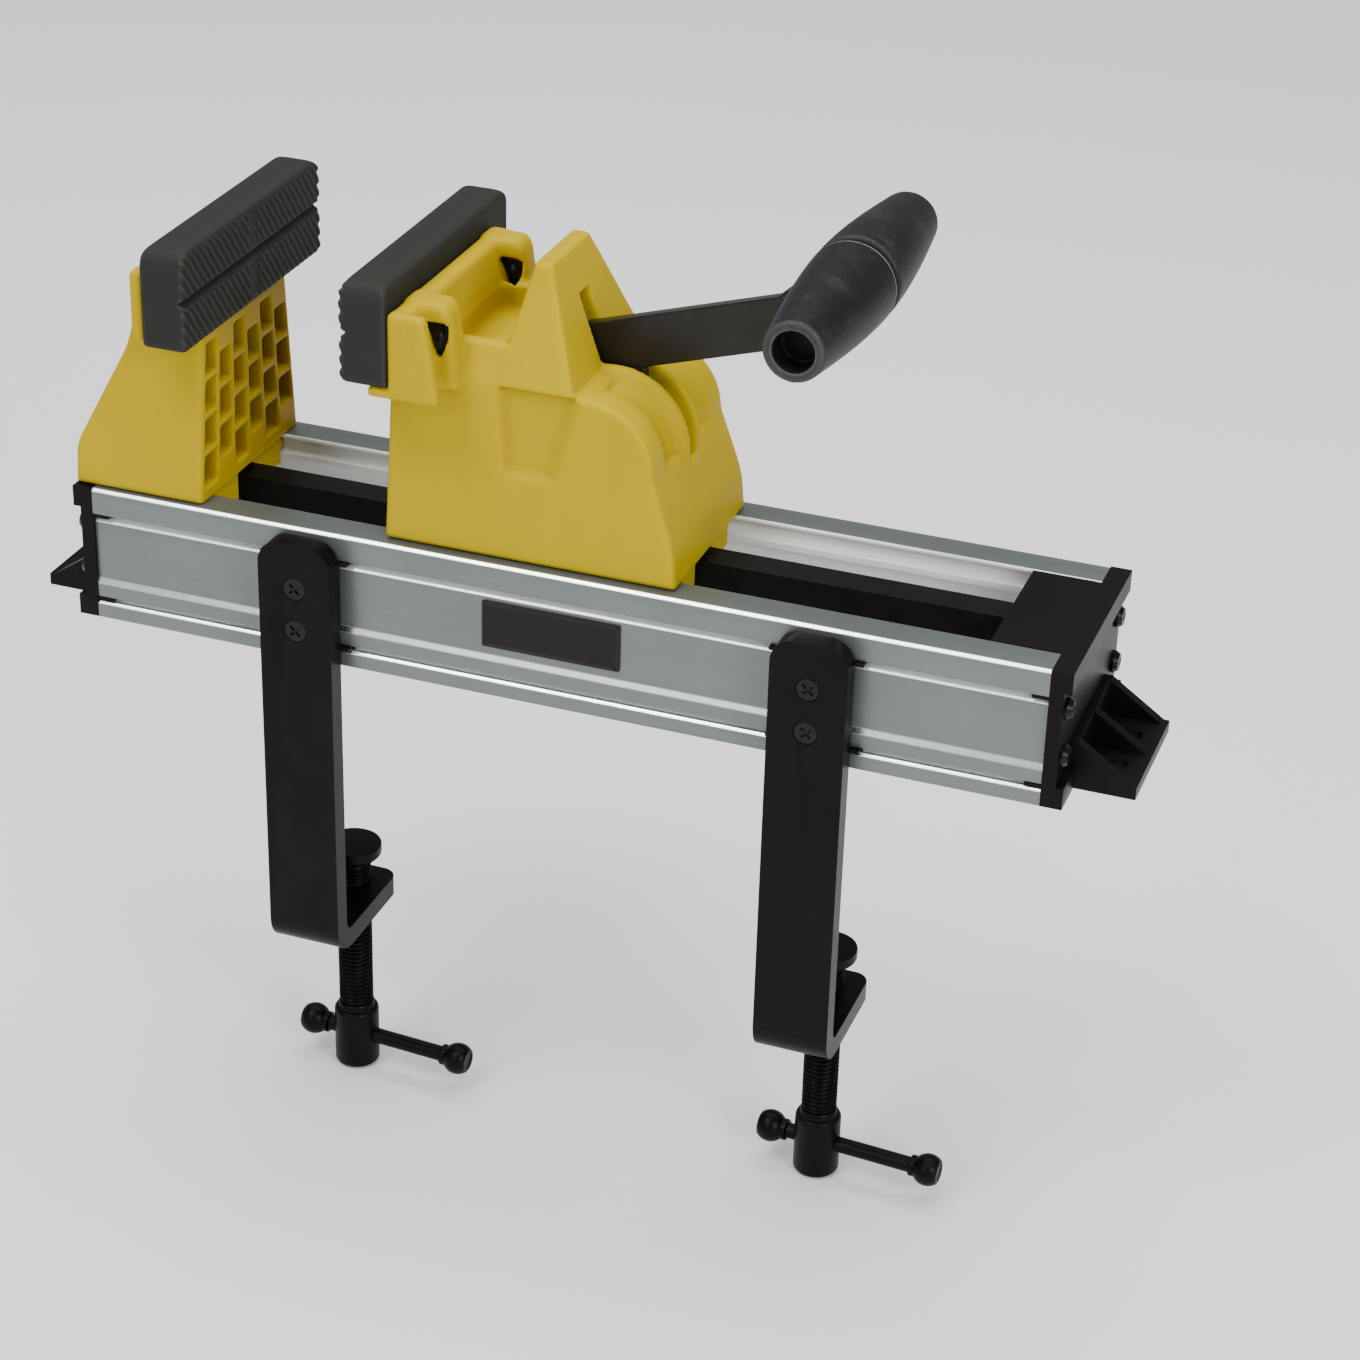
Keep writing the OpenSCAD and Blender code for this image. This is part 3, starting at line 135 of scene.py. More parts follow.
class Wire:
    """A shader value that takes part in Python arithmetic; each operation adds a Math node."""

    def __init__(self, sheet: "NodeSheet", socket: bpy.types.NodeSocket) -> None:
        """Keep the sheet and the output socket that the value comes from."""
        self.sheet = sheet
        self.socket = socket

    def _math(self, operation: str, first: Value, second: Value) -> "Wire":
        """Add one Math node and return its value."""
        return self.sheet.node("ShaderNodeMath", {"operation": operation}, {0: first, 1: second})

    def __add__(self, other: Value) -> "Wire":
        """Sum."""
        return self._math("ADD", self, other)

    __radd__ = __add__

    def __sub__(self, other: Value) -> "Wire":
        """Difference."""
        return self._math("SUBTRACT", self, other)

    def __rsub__(self, other: Value) -> "Wire":
        """Difference from a number."""
        return self._math("SUBTRACT", other, self)

    def __mul__(self, other: Value) -> "Wire":
        """Product."""
        return self._math("MULTIPLY", self, other)

    __rmul__ = __mul__

    def between(self, low: float, high: float) -> "Wire":
        """A soft step that is 0 at low and 1 at high."""
        return self.sheet.node("ShaderNodeMapRange", {"interpolation_type": "SMOOTHSTEP"},
                               {"Value": self, "From Min": low, "From Max": high})


class NodeSheet:
    """The node tree of one material."""

    def __init__(self, name: str) -> None:
        """Start an empty material of that name."""
        self.material = bpy.data.materials.new(name)
        self.material.use_nodes = True
        self.tree = self.material.node_tree
        self.tree.nodes.clear()

    def node(self, kind: str, settings: dict | None = None, sockets: dict | None = None,
             out: int | str = 0) -> Wire:
        """Add a node.

        Args:
            kind: The node's type.
            settings: Its properties, set before its sockets.
            sockets: Values or wires by socket name or number.
            out: The output to hand back.

        Returns:
            The output as a wire.
        """
        made = self.tree.nodes.new(kind)
        for key, value in (settings or {}).items():
            setattr(made, key, value)
        for key, value in (sockets or {}).items():
            if isinstance(value, Wire):
                self.tree.links.new(value.socket, made.inputs[key])
            else:
                made.inputs[key].default_value = value
        return Wire(self, made.outputs[out])

    def place(self, stretch: Point = (1, 1, 1), turn: Point = (0, 0, 0)) -> Wire:
        """Object coordinates, stretched and turned.

        Args:
            stretch: Factors along the three axes.
            turn: Angles in radians about them.

        Returns:
            The coordinates.
        """
        at = self.node("ShaderNodeTexCoord", out="Object")
        if stretch == (1, 1, 1) and turn == (0, 0, 0):
            return at
        return self.node("ShaderNodeMapping", {}, {"Vector": at, "Scale": stretch, "Rotation": turn})

    def noise(self, at: Wire, size_mm: float, detail: float = 2.0, rough: float = 0.5) -> Wire:
        """Soft noise whose lumps are about that many millimetres across."""
        return self.node("ShaderNodeTexNoise", {}, {"Vector": at, "Scale": 1000 / size_mm, "Detail": detail,
                                                    "Roughness": rough})

    def cells(self, at: Wire, size_mm: float) -> Wire:
        """Distance to the nearest of scattered points that many millimetres apart."""
        return self.node("ShaderNodeTexVoronoi", {}, {"Vector": at, "Scale": 1000 / size_mm})

    def own(self, name: str) -> Wire:
        """The piece's own attribute: edge is 1 on outer edges, hollow 1 in inner corners, both 0 elsewhere."""
        return self.node("ShaderNodeAttribute", {"attribute_name": name}, out="Fac")

    def mix(self, share: Value, first: "Wire | Tone", second: Tone) -> Wire:
        """Blend two colours."""
        start = first if isinstance(first, Wire) else srgb(first)
        return self.node("ShaderNodeMix", {"data_type": "RGBA"}, {0: share, 6: start, 7: srgb(second)}, out=2)

    def bump(self, height: Wire, depth_mm: float) -> Wire:
        """A normal raised by height, which runs from 0 to 1 over the depth."""
        return self.node("ShaderNodeBump", {}, {"Distance": depth_mm * MM, "Height": height})

    def done(self, **sockets: Value) -> bpy.types.Material:
        """Close the sheet with a surface shader.

        Args:
            **sockets: Values by socket name, with _ for a space.

        Returns:
            The material.
        """
        named = {key.replace("_", " "): value for key, value in sockets.items()}
        shader = self.node("ShaderNodeBsdfPrincipled", {}, named)
        out = self.tree.nodes.new("ShaderNodeOutputMaterial")
        self.tree.links.new(shader.socket, out.inputs["Surface"])
        return self.material


# Finishes


@dataclass(frozen=True)
class MouldedFinish:
    """Moulded plastic: two close tones, a fine pebble, rub marks, edges made paler as painted highlight with some
    wear, and hollows made darker as painted shade.
    """

    name: str
    colour: Tone
    shade: Tone
    pale: Tone
    dirt: Tone
    grain_mm: float = 0.7
    grain_depth_mm: float = 0.03
    rough: float = 0.42
    rub: float = 0.25
    shine: float = 0.3

    def material(self) -> bpy.types.Material:
        """Make the material.

        Returns:
            The finished material.
        """
        sheet = NodeSheet(self.name)
        at = sheet.place()
        cloud = sheet.noise(at, 45, 3)
        flow = sheet.noise(sheet.place((1, 0.35, 0.2)), 12, 4, 0.6)
        pebble = sheet.noise(at, self.grain_mm, 2)
        marks = sheet.noise(sheet.place((0.06, 1, 1), (0.2, 0.5, 0.3)), 1.6, 3, 0.65).between(0.66, 0.74)
        marks = marks * sheet.noise(at, 30, 2).between(0.45, 0.7)
        tone = sheet.mix((cloud * 0.6 + flow * 0.4).between(0.3, 0.72), self.colour, self.shade)
        # Edges take the pale tone as painted highlight, partly wear; rub marks are wear.
        tone = sheet.mix(sheet.own("edge") * 0.35 + marks * self.rub, tone, self.pale)
        # Hollows take the fourth tone: painted shade in corners, creases and over the fixed jaw's waffle.
        tone = sheet.mix(sheet.own("hollow") * (0.35 + 0.4 * flow), tone, self.dirt)
        rough = self.rough + 0.14 * (flow - 0.5) + 0.18 * marks - 0.05 * sheet.own("edge")
        normal = sheet.bump(pebble + 0.5 * marks + 0.45 * flow, self.grain_depth_mm)
        return sheet.done(Base_Color=tone, Roughness=rough, Normal=normal, Specular_IOR_Level=self.shine)


@dataclass(frozen=True)
class RubberFinish:
    """Rubber: a dull dark tone with fine grit, a dusty film, and edges lightened as painted highlight, partly rubbed
    wear.
    """

    name: str
    colour: Tone
    bloom: Tone
    grain_mm: float = 0.5
    grain_depth_mm: float = 0.05
    rough: float = 0.62
    shine: float = 0.25

    def material(self) -> bpy.types.Material:
        """Make the material.

        Returns:
            The finished material.
        """
        sheet = NodeSheet(self.name)
        at = sheet.place()
        grit = sheet.noise(at, self.grain_mm, 3, 0.6)
        speck = sheet.cells(at, self.grain_mm * 2.2).between(0.05, 0.35)
        dust = sheet.noise(at, 14, 4, 0.65).between(0.45, 0.8)
        # Dust and specks are real; the edge share lightens edges as painted highlight, partly rubbed wear.
        share = 0.05 * dust + 0.03 * (1 - speck) + 0.5 * sheet.own("edge")
        tone = sheet.mix(share, self.colour, self.bloom)
        rough = self.rough + 0.12 * (grit - 0.5) + 0.1 * dust
        normal = sheet.bump(grit * 0.7 + speck * 0.3, self.grain_depth_mm)
        return sheet.done(Base_Color=tone, Roughness=rough, Normal=normal, Specular_IOR_Level=self.shine)


class Lay(Enum):
    """The way that tool lines run over a metal surface, as stretches of the coordinates."""

    ALONG_X = (0.012, 1.0, 1.0)
    ALONG_Y = (1.0, 0.012, 1.0)
    NONE = (1.0, 1.0, 1.0)


@dataclass(frozen=True)
class MetalFinish:
    """Bare or anodised metal: tool lines, cloudy tarnish, fine scratches, bare metal on edges, and hollows made pale
    and less metallic as painted light.
    """

    name: str
    colour: Tone
    tarnish: Tone
    bare: Tone
    lay: Lay = Lay.NONE
    line_mm: float = 0.35
    line_depth_mm: float = 0.012
    rough: float = 0.3
    metallic: float = 1.0

    def material(self) -> bpy.types.Material:
        """Make the material.

        Returns:
            The finished material.
        """
        sheet = NodeSheet(self.name)
        at = sheet.place()
        lines = sheet.noise(sheet.place(self.lay.value), self.line_mm, 3, 0.6)
        broad = sheet.noise(sheet.place(self.lay.value), self.line_mm * 9, 2)
        cloud = sheet.noise(at, 26, 4, 0.6)
        scratch = sheet.noise(sheet.place((0.05, 1, 1), (0.4, 0.1, 0.9)), 1.1, 2).between(0.7, 0.76)
        share = (0.45 * cloud + 0.35 * broad + 0.2 * lines).between(0.3, 0.75)
        tone = sheet.mix(share, self.colour, self.tarnish)
        edge, hollow = sheet.own("edge"), sheet.own("hollow")
        # Edges and scratches show bare metal; the hollow share is painted light, a pale, less metallic tone standing
        # in for reflections on the rails' inner faces and lifting the shade in their slots.
        tone = sheet.mix((edge + 0.8 * hollow + 0.12 * scratch).between(0, 1), tone, self.bare)
        rough = self.rough + 0.1 * (lines - 0.5) + 0.1 * (cloud - 0.5) + 0.1 * scratch - 0.1 * edge
        normal = sheet.bump(lines + 0.6 * scratch, self.line_depth_mm)
        metal = self.metallic * (1 - 0.8 * hollow) + (1 - self.metallic) * edge
        return sheet.done(Base_Color=tone, Roughness=rough, Normal=normal, Metallic=metal)


@dataclass(frozen=True)
class CoatFinish:
    """A black coat on steel: orange peel, handling marks and bare metal showing at rubbed places."""

    name: str
    colour: Tone
    sheen: Tone
    metal: Tone
    rough: float = 0.42
    peel_mm: float = 1.1
    peel_depth_mm: float = 0.03
    wear: float = 0.5
    shine: float = 0.2

    def material(self) -> bpy.types.Material:
        """Make the material.

        Returns:
            The finished material.
        """
        sheet = NodeSheet(self.name)
        at = sheet.place()
        peel = sheet.noise(at, self.peel_mm, 2)
        cloud = sheet.noise(at, 18, 4, 0.6)
        marks = sheet.noise(sheet.place((1, 1, 0.08), (0.2, 0.3, 0.1)), 1.3, 3, 0.6).between(0.63, 0.75)
        chips = (sheet.noise(at, 3.2, 5, 0.7) + 0.22 * sheet.own("edge")).between(0.73, 0.77) * self.wear
        tone = sheet.mix(cloud.between(0.3, 0.75) * 0.8 + marks * 0.3, self.colour, self.sheen)
        tone = sheet.mix(chips, tone, self.metal)
        rough = self.rough + 0.14 * (cloud - 0.5) + 0.12 * marks - 0.1 * chips
        normal = sheet.bump(peel - 0.6 * chips, self.peel_depth_mm)
        return sheet.done(Base_Color=tone, Roughness=rough, Normal=normal, Metallic=chips,
                          Specular_IOR_Level=self.shine)


# A moulded finish's third tone is laid on edges as painted highlight, partly wear.
FINISHES = (
    # jaw_yellow's fourth tone, a dark brown, is painted shade for its hollows and its waffle.
    MouldedFinish("jaw_yellow", (177, 152, 0), (172, 145, 0), (194, 171, 0), (108, 64, 0), rough=0.46, shine=0.06),
    MouldedFinish("cap_plastic", (17, 15, 14), (12, 11, 10), (54, 52, 49), (5, 5, 5), grain_depth_mm=0.04, rough=0.4,
                  shine=0.08),
    MouldedFinish("runner_plastic", (170, 170, 164), (156, 156, 148), (196, 196, 190), (90, 88, 80), rough=0.5),
    MouldedFinish("slider_plastic", (20, 20, 20), (14, 14, 14), (60, 60, 60), (6, 6, 6), rough=0.5, shine=0.15),
    MouldedFinish("plate_black", (15, 14, 12), (11, 10, 9), (60, 54, 30), (5, 5, 5), grain_depth_mm=0.015, rough=0.34,
                  shine=0.2),
    RubberFinish("pad_rubber", (39, 40, 37), (74, 76, 71), 0.6, 0.05, 0.66, 0.1),
    # grip_rubber's light tone is mostly painted highlight on the grip's lip.
    RubberFinish("grip_rubber", (17, 18, 16), (165, 168, 164), 0.55, 0.05, 0.5, 0.14),
    RubberFinish("lining_rubber", (42, 38, 34), (80, 72, 64), 0.8, 0.08, 0.8, 0.2),
    # rail_alloy's pale tone serves bare edges and, on inner faces and in slots, painted light.
    MetalFinish("rail_alloy", (112, 119, 115), (103, 110, 107), (240, 242, 240), Lay.ALONG_X, line_depth_mm=0.005,
                rough=0.36, metallic=0.6),
    MetalFinish("bright_steel", (128, 128, 130), (96, 96, 100), (190, 190, 192), line_mm=0.5, rough=0.28),
    MetalFinish("bush_bronze", (196, 152, 90), (150, 108, 60), (230, 190, 120), Lay.ALONG_Y, rough=0.32),
    CoatFinish("black_screw", (8, 8, 8), (16, 16, 15), (100, 100, 98), 0.3, 0.6, 0.015, 0.3, 0.2),
    CoatFinish("lock_bar_black", (9, 9, 9), (17, 17, 16), (70, 70, 68), 0.4, 0.9, 0.02, 0.4, 0.12),
    CoatFinish("lever_black", (27, 25, 20), (38, 35, 29), (130, 124, 112), 0.3, 0.8, 0.02, 0.25, 0.2),
    CoatFinish("clamp_black", (7, 7, 6), (14, 14, 13), (90, 90, 88), 0.36, 1.2, 0.03, 0.25, 0.09),
)


# Surfaces


@dataclass
class Surface:
    """Points in millimetres, and faces as arrays of point numbers, one array for each count of corners."""

    points: Array
    faces: list[Array]
    edge: Array | None = None
    hollow: Array | None = None

    @staticmethod
    def joined(parts: list["Surface"]) -> "Surface":
        """Several surfaces as one.

        Args:
            parts: The surfaces to put together.

        Returns:
            One surface with all points and faces.
        """
        starts = np.cumsum([0] + [len(part.points) for part in parts])
        faces = [face + start for part, start in zip(parts, starts) for face in part.faces]
        return Surface(np.concatenate([part.points for part in parts]), faces)

    @staticmethod
    def tube(rings: Array) -> "Surface":
        """Rings of points joined in order, with a face across the first and the last.

        Args:
            rings: Points by ring and by place in the ring.

        Returns:
            The closed surface.
        """
        rows, steps = rings.shape[:2]
        number = np.arange(steps)[None, :]
        return Surface(rings.reshape(-1, 3),
                       [grid_quads(rows, steps), number[:, ::-1], number + (rows - 1) * steps])

    def mesh(self, name: str) -> bpy.types.Mesh:
        """Fill a mesh with the points, in metres, and the faces.

        Args:
            name: The mesh's name.

        Returns:
            The mesh, smooth shaded.
        """
        corners = np.concatenate([face.ravel() for face in self.faces]).astype(np.int32)
        counts = np.concatenate([np.full(len(face), face.shape[1]) for face in self.faces])
        starts = np.concatenate([[0], np.cumsum(counts)[:-1]]).astype(np.int32)
        mesh = bpy.data.meshes.new(name)
        mesh.vertices.add(len(self.points))
        mesh.vertices.foreach_set("co", (self.points * MM).astype(np.float32).ravel())
        mesh.loops.add(len(corners))
        mesh.loops.foreach_set("vertex_index", corners)
        mesh.polygons.add(len(counts))
        mesh.polygons.foreach_set("loop_start", starts)
        mesh.polygons.foreach_set("use_smooth", np.ones(len(counts), bool))
        mesh.update(calc_edges=True)
        mesh.validate()
        for label, values in (("edge", self.edge), ("hollow", self.hollow)):
            if values is not None:
                mesh.attributes.new(label, "FLOAT", "POINT").data.foreach_set("value", values.astype(np.float32))
        return mesh


def grid_quads(rows: int, columns: int, closed: bool = True) -> Array:
    """Number the quads of a grid of points, row by row.

    Args:
        rows: How many rows of points.
        columns: How many points in a row.
        closed: A row's last point joins its first.

    Returns:
        Four point numbers for each quad.
    """
    row = np.arange(rows - 1)[:, None] * columns
    column = np.arange(columns - (not closed))[None, :]
    beside = (column + 1) % columns
    quads = [row + column, row + beside, row + columns + beside, row + columns + column]
    return np.stack(np.broadcast_arrays(*quads), -1).reshape(-1, 4)


def rounded(corners: Array | list, radius: float | list, steps: int = 4) -> Array:
    """Round an outline's corners.

    Each corner P becomes the curve (1-s)^2 A + 2s(1-s) P + s^2 B between the points A and B that lie a
    radius away along its two edges, or 45 percent of the shorter edge where that is less.

    Args:
        corners: Corners in order, closed.
        radius: One radius, or one for each corner.
        steps: Points along each curve.

    Returns:
        The rounded outline.
    """
    outline = np.array(corners, float)
    before, after = np.roll(outline, 1, 0) - outline, np.roll(outline, -1, 0) - outline
    reach = np.minimum(np.linalg.norm(before, axis=1), np.linalg.norm(after, axis=1)) * 0.45
    reach = np.minimum(reach, radius)[:, None]
    first = outline + before / np.linalg.norm(before, axis=1)[:, None] * reach
    last = outline + after / np.linalg.norm(after, axis=1)[:, None] * reach
    s = np.linspace(0, 1, steps)[None, :, None]
    curve = (1 - s) ** 2 * first[:, None] + 2 * s * (1 - s) * outline[:, None] + s ** 2 * last[:, None]
    return curve.reshape(-1, 2)


@dataclass(frozen=True)
class Spindle:
    """A line that pieces are turned about: a point on it and its direction."""

    origin: Point
    direction: Point

    def around(self, height: Array, radius: Array, angle: Array) -> Array:
        """Points at heights along the line, that radius away from it and at that angle round it.

        Args:
            height: Heights along the line.
            radius: Distances from the line.
            angle: Angles in radians, all three of shapes that fit together.

        Returns:
            The points.
        """
        along = np.array(self.direction, float)
        along /= np.linalg.norm(along)
        across = np.cross((0, 0, 1) if abs(along[2]) < 0.9 else (1, 0, 0), along)
        across /= np.linalg.norm(across)
        out = np.cos(angle)[..., None] * across + np.sin(angle)[..., None] * np.cross(along, across)
        return np.array(self.origin) + height[..., None] * along + radius[..., None] * out

    def turned(self, outline: Array, steps: int = 48) -> Surface:
        """Turn an outline about the line: the point at height h and radius r goes round a circle of radius r.

        Args:
            outline: Heights along the line and radii, from one end to the other.
            steps: Points round the circle.

        Returns:
            The surface, its ends closed where the radius is zero.
        """
        angle = np.linspace(0, 2 * np.pi, steps, endpoint=False)
        points = self.around(outline[:, :1], outline[:, 1:], angle)
        return Surface(points.reshape(-1, 3), [grid_quads(len(outline), steps)])

    def threaded(self, low: float, high: float, radius: float, deep: float, pitch: float,
                 steps: int = 40, per_turn: int = 8) -> Surface:
        """A screw thread: the radius at height h and angle a is the outer radius less the depth times a soft
        wave of the fraction of h / pitch - a / 2 pi.

        Args:
            low: Height of the lower end.
            high: Height of the upper end.
            radius: Outer radius.
            deep: Depth of the thread.
            pitch: Rise in one turn.
            steps: Points round the circle.
            per_turn: Rows in one pitch.

        Returns:
            The surface with flat ends.
        """
        angle = np.linspace(0, 2 * np.pi, steps, endpoint=False)
        height = np.linspace(low, high, int((high - low) / pitch * per_turn))[:, None]
        phase = height / pitch - angle / (2 * np.pi)
        wave = np.clip(np.abs((phase % 1) * 2 - 1) * 1.5 - 0.25, 0, 1)
        near_end = np.clip(np.minimum(height - low, high - height) / pitch, 0, 1)
        return Surface.tube(self.around(height, radius - deep * (1 - (1 - wave) * near_end), angle))

    def coiled(self, low: float, high: float, radius: float, wire: float, turns: float) -> Surface:
        """A coil spring: a circle carried along a helix, with its last turns closed up and flat.

        Args:
            low: Height of the lower end.
            high: Height of the upper end.
            radius: Radius of the helix.
            wire: Radius of the wire.
            turns: Turns in all.

        Returns:
            The closed tube.
        """
        s = np.linspace(0, 1, int(turns * 28))[:, None]
        flat = np.clip((s * turns - 0.9) / (turns - 1.8), 0, 1)
        rise = low + wire + (high - low - 2 * wire) * flat
        ring = np.linspace(0, 2 * np.pi, 10, endpoint=False)
        return Surface.tube(self.around(rise + wire * np.sin(ring), radius + wire * np.cos(ring),
                                        2 * np.pi * turns * s))


# Solids as signed distances


def meet(first: Array, second: Array, radius: float = 0.0) -> Array:
    """The common part of two solids: the larger distance, with the edge rounded to a radius.

    Args:
        first: Signed distances, negative inside.
        second: Signed distances of the other solid.
        radius: Radius of the outer edge.

    Returns:
        Signed distances of the common part.
    """
    if radius <= 0:
        return np.maximum(first, second)
    return (np.minimum(np.maximum(first, second), -radius)
            + np.hypot(np.maximum(first + radius, 0), np.maximum(second + radius, 0)))


def join(first: Array, second: Array, radius: float = 0.0) -> Array:
    """Two solids as one, the inner corner between them filled to a radius."""
    return -meet(-first, -second, radius)


def cut(first: Array, second: Array, radius: float = 0.0) -> Array:
    """The first solid less the second, the new edge rounded to a radius."""
    return meet(first, -second, radius)


class Block:
    """A block of space cut into a grid, on which solids are signed distances held as whole arrays."""

    def __init__(self, low: Point, high: Point, step: float | Point) -> None:
        """Lay out the grid.

        Args:
            low: Lowest corner.
            high: Highest corner.
            step: Distance between grid points, the same for each axis or one for each.
        """
        self.low = np.array(low, float)
        self.step = np.broadcast_to(np.array(step, float), 3)
        count = np.ceil((np.array(high) - self.low) / self.step).astype(int) + 1
        lines = [(self.low[i] + self.step[i] * np.arange(count[i])).astype(np.float32) for i in range(3)]
        self.x, self.y, self.z = np.ix_(*lines)
        self.axes = (self.x, self.y, self.z)
        self.over = np.abs(self.y)

    def slab(self, axis: Axis, low: float, high: float) -> Array:
        """Everything between two planes square to an axis."""
        at = self.axes[axis.value]
        return np.maximum(low - at, at - high)

    def pair(self, low: float, high: float) -> Array:
        """Everything between two distances from the middle, on both sides of it."""
        return np.maximum(low - self.over, self.over - high)

    def box(self, low: Point, high: Point, radius: float = 0.0) -> Array:
        """A box between two corners, its edges rounded to a radius."""
        sides = [self.slab(axis, low[axis.value], high[axis.value]) for axis in Axis]
        return meet(meet(sides[0], sides[1], radius), sides[2], radius)

    def prism(self, axis: Axis, outline: Array | list) -> Array:
        """An endless prism along an axis: the distance to the outline's nearest edge, negative where a line
        from the point crosses the outline an odd number of times.

        Args:
            axis: The prism's direction.
            outline: Corners in the other two axes, in the order of the frame.

        Returns:
            Signed distances, one deep along the axis.
        """
        first, second = [self.axes[i] for i in range(3) if i != axis.value]
        least, odd = np.float32(1e9), np.zeros(np.broadcast_shapes(first.shape, second.shape), bool)
        for (a, b), (c, d) in zip(outline, np.roll(outline, -1, 0)):
            run, rise = c - a, d - b
            share = np.clip(((first - a) * run + (second - b) * rise) / (run * run + rise * rise + 1e-12), 0, 1)
            least = np.minimum(least, np.hypot(first - a - share * run, second - b - share * rise))
            if abs(rise) > 1e-9:
                odd ^= ((b > second) != (d > second)) & (first < run * (second - b) / rise + a)
        return np.where(odd, -least, least)

    def rod(self, axis: Axis, centre: tuple[float, float], radius: float | Array) -> Array:
        """An endless round bar along an axis, its radius one number or an array on the grid."""
        first, second = [self.axes[i] for i in range(3) if i != axis.value]
        return np.hypot(first - centre[0], second - centre[1]) - radius

    def skin(self, field: Array) -> Surface:
        """The surface where the field is zero: one point in each grid cell that the surface passes, at the mean
        of its crossings of the cell's edges, and one quad across each grid edge whose ends differ in sign.

        Args:
            field: Signed distances on the grid.

        Returns:
            The surface, with how far each point stands out of or into its neighbours.
        """
        shape = np.broadcast_shapes(self.x.shape, self.y.shape, self.z.shape)
        field = np.ascontiguousarray(np.broadcast_to(field, shape), np.float32)
        corner = np.array(list(product((0, 1), repeat=3)))
        views = [field[i:shape[0] - 1 + i, j:shape[1] - 1 + j, k:shape[2] - 1 + k] for i, j, k in corner]
        inside = sum((view < 0).astype(np.int8) for view in views)
        passed = (inside > 0) & (inside < 8)
        cell = np.argwhere(passed)
        value = np.stack([view[passed] for view in views])
        total, hits = np.zeros((len(cell), 3)), np.zeros((len(cell), 1))
        for a, b in combinations(range(8), 2):
            if np.abs(corner[a] - corner[b]).sum() == 1:
                hit = ((value[a] < 0) != (value[b] < 0))[:, None]
                share = (value[a] / np.where(hit[:, 0], value[a] - value[b], 1))[:, None]
                total += hit * (corner[a] + share * (corner[b] - corner[a]))
                hits += hit
        points = self.low + (cell + total / hits) * self.step
        number = np.full(passed.shape, -1)
        number[passed] = np.arange(len(cell))
        quads = []
        for axis in range(3):
            u, v = (axis + 1) % 3, (axis + 2) % 3
            inner = [slice(1, -1)] * 3
            inner[axis] = slice(None, -1)
            ahead = list(inner)
            ahead[axis] = slice(1, None)
            low, high = field[tuple(inner)] < 0, field[tuple(ahead)] < 0
            spot = np.argwhere(low != high)
            spot[:, u] += 1
            spot[:, v] += 1
            turn = np.zeros((4, 3), int)
            turn[[0, 3], u] = -1
            turn[[0, 1], v] = -1
            around = spot[:, None] + turn[None]
            quad = number[around[..., 0], around[..., 1], around[..., 2]]
            outward = low[low != high]
            quads.append(np.where(outward[:, None], quad, quad[:, ::-1]))
        faces = np.concatenate(quads)
        return Surface(points, [faces], *self._relief(points, faces))

    def _relief(self, points: Array, faces: Array) -> tuple[Array, Array]:
        """How far points stand out of, or into, the mean of their neighbours, along their normals.

        Args:
            points: The points.
            faces: Four point numbers for each quad.

        Returns:
            Two shares from 0 to 1 for each point: out and in.
        """
        span = points[faces]
        normal = np.cross(span[:, 2] - span[:, 0], span[:, 3] - span[:, 1])
        count = len(points)
        pairs = np.concatenate([faces, np.roll(faces, 1, 1)])
        other = np.concatenate([np.roll(faces, -1, 1), faces])
        ties = np.bincount(pairs.ravel(), minlength=count)[:, None]
        mean = np.stack([np.bincount(pairs.ravel(), points[other.ravel(), i], count) for i in range(3)], 1) / ties
        facing = np.stack([np.bincount(faces.ravel(), np.repeat(normal[:, i], 4), count) for i in range(3)], 1)
        facing /= np.linalg.norm(facing, axis=1, keepdims=True) + 1e-12
        stands = ((points - mean) * facing).sum(1) / self.step.mean()
        return np.clip(stands * 4, 0, 1), np.clip(-stands * 4, 0, 1)


# Pieces on the frame


def shown(name: str, data: bpy.types.ID) -> bpy.types.Object:
    """Put a new object that holds the data into the scene.

    Args:
        name: The object's name.
        data: Its mesh, light or camera.

    Returns:
        The object.
    """
    made = bpy.data.objects.new(name, data)
    bpy.context.scene.collection.objects.link(made)
    return made


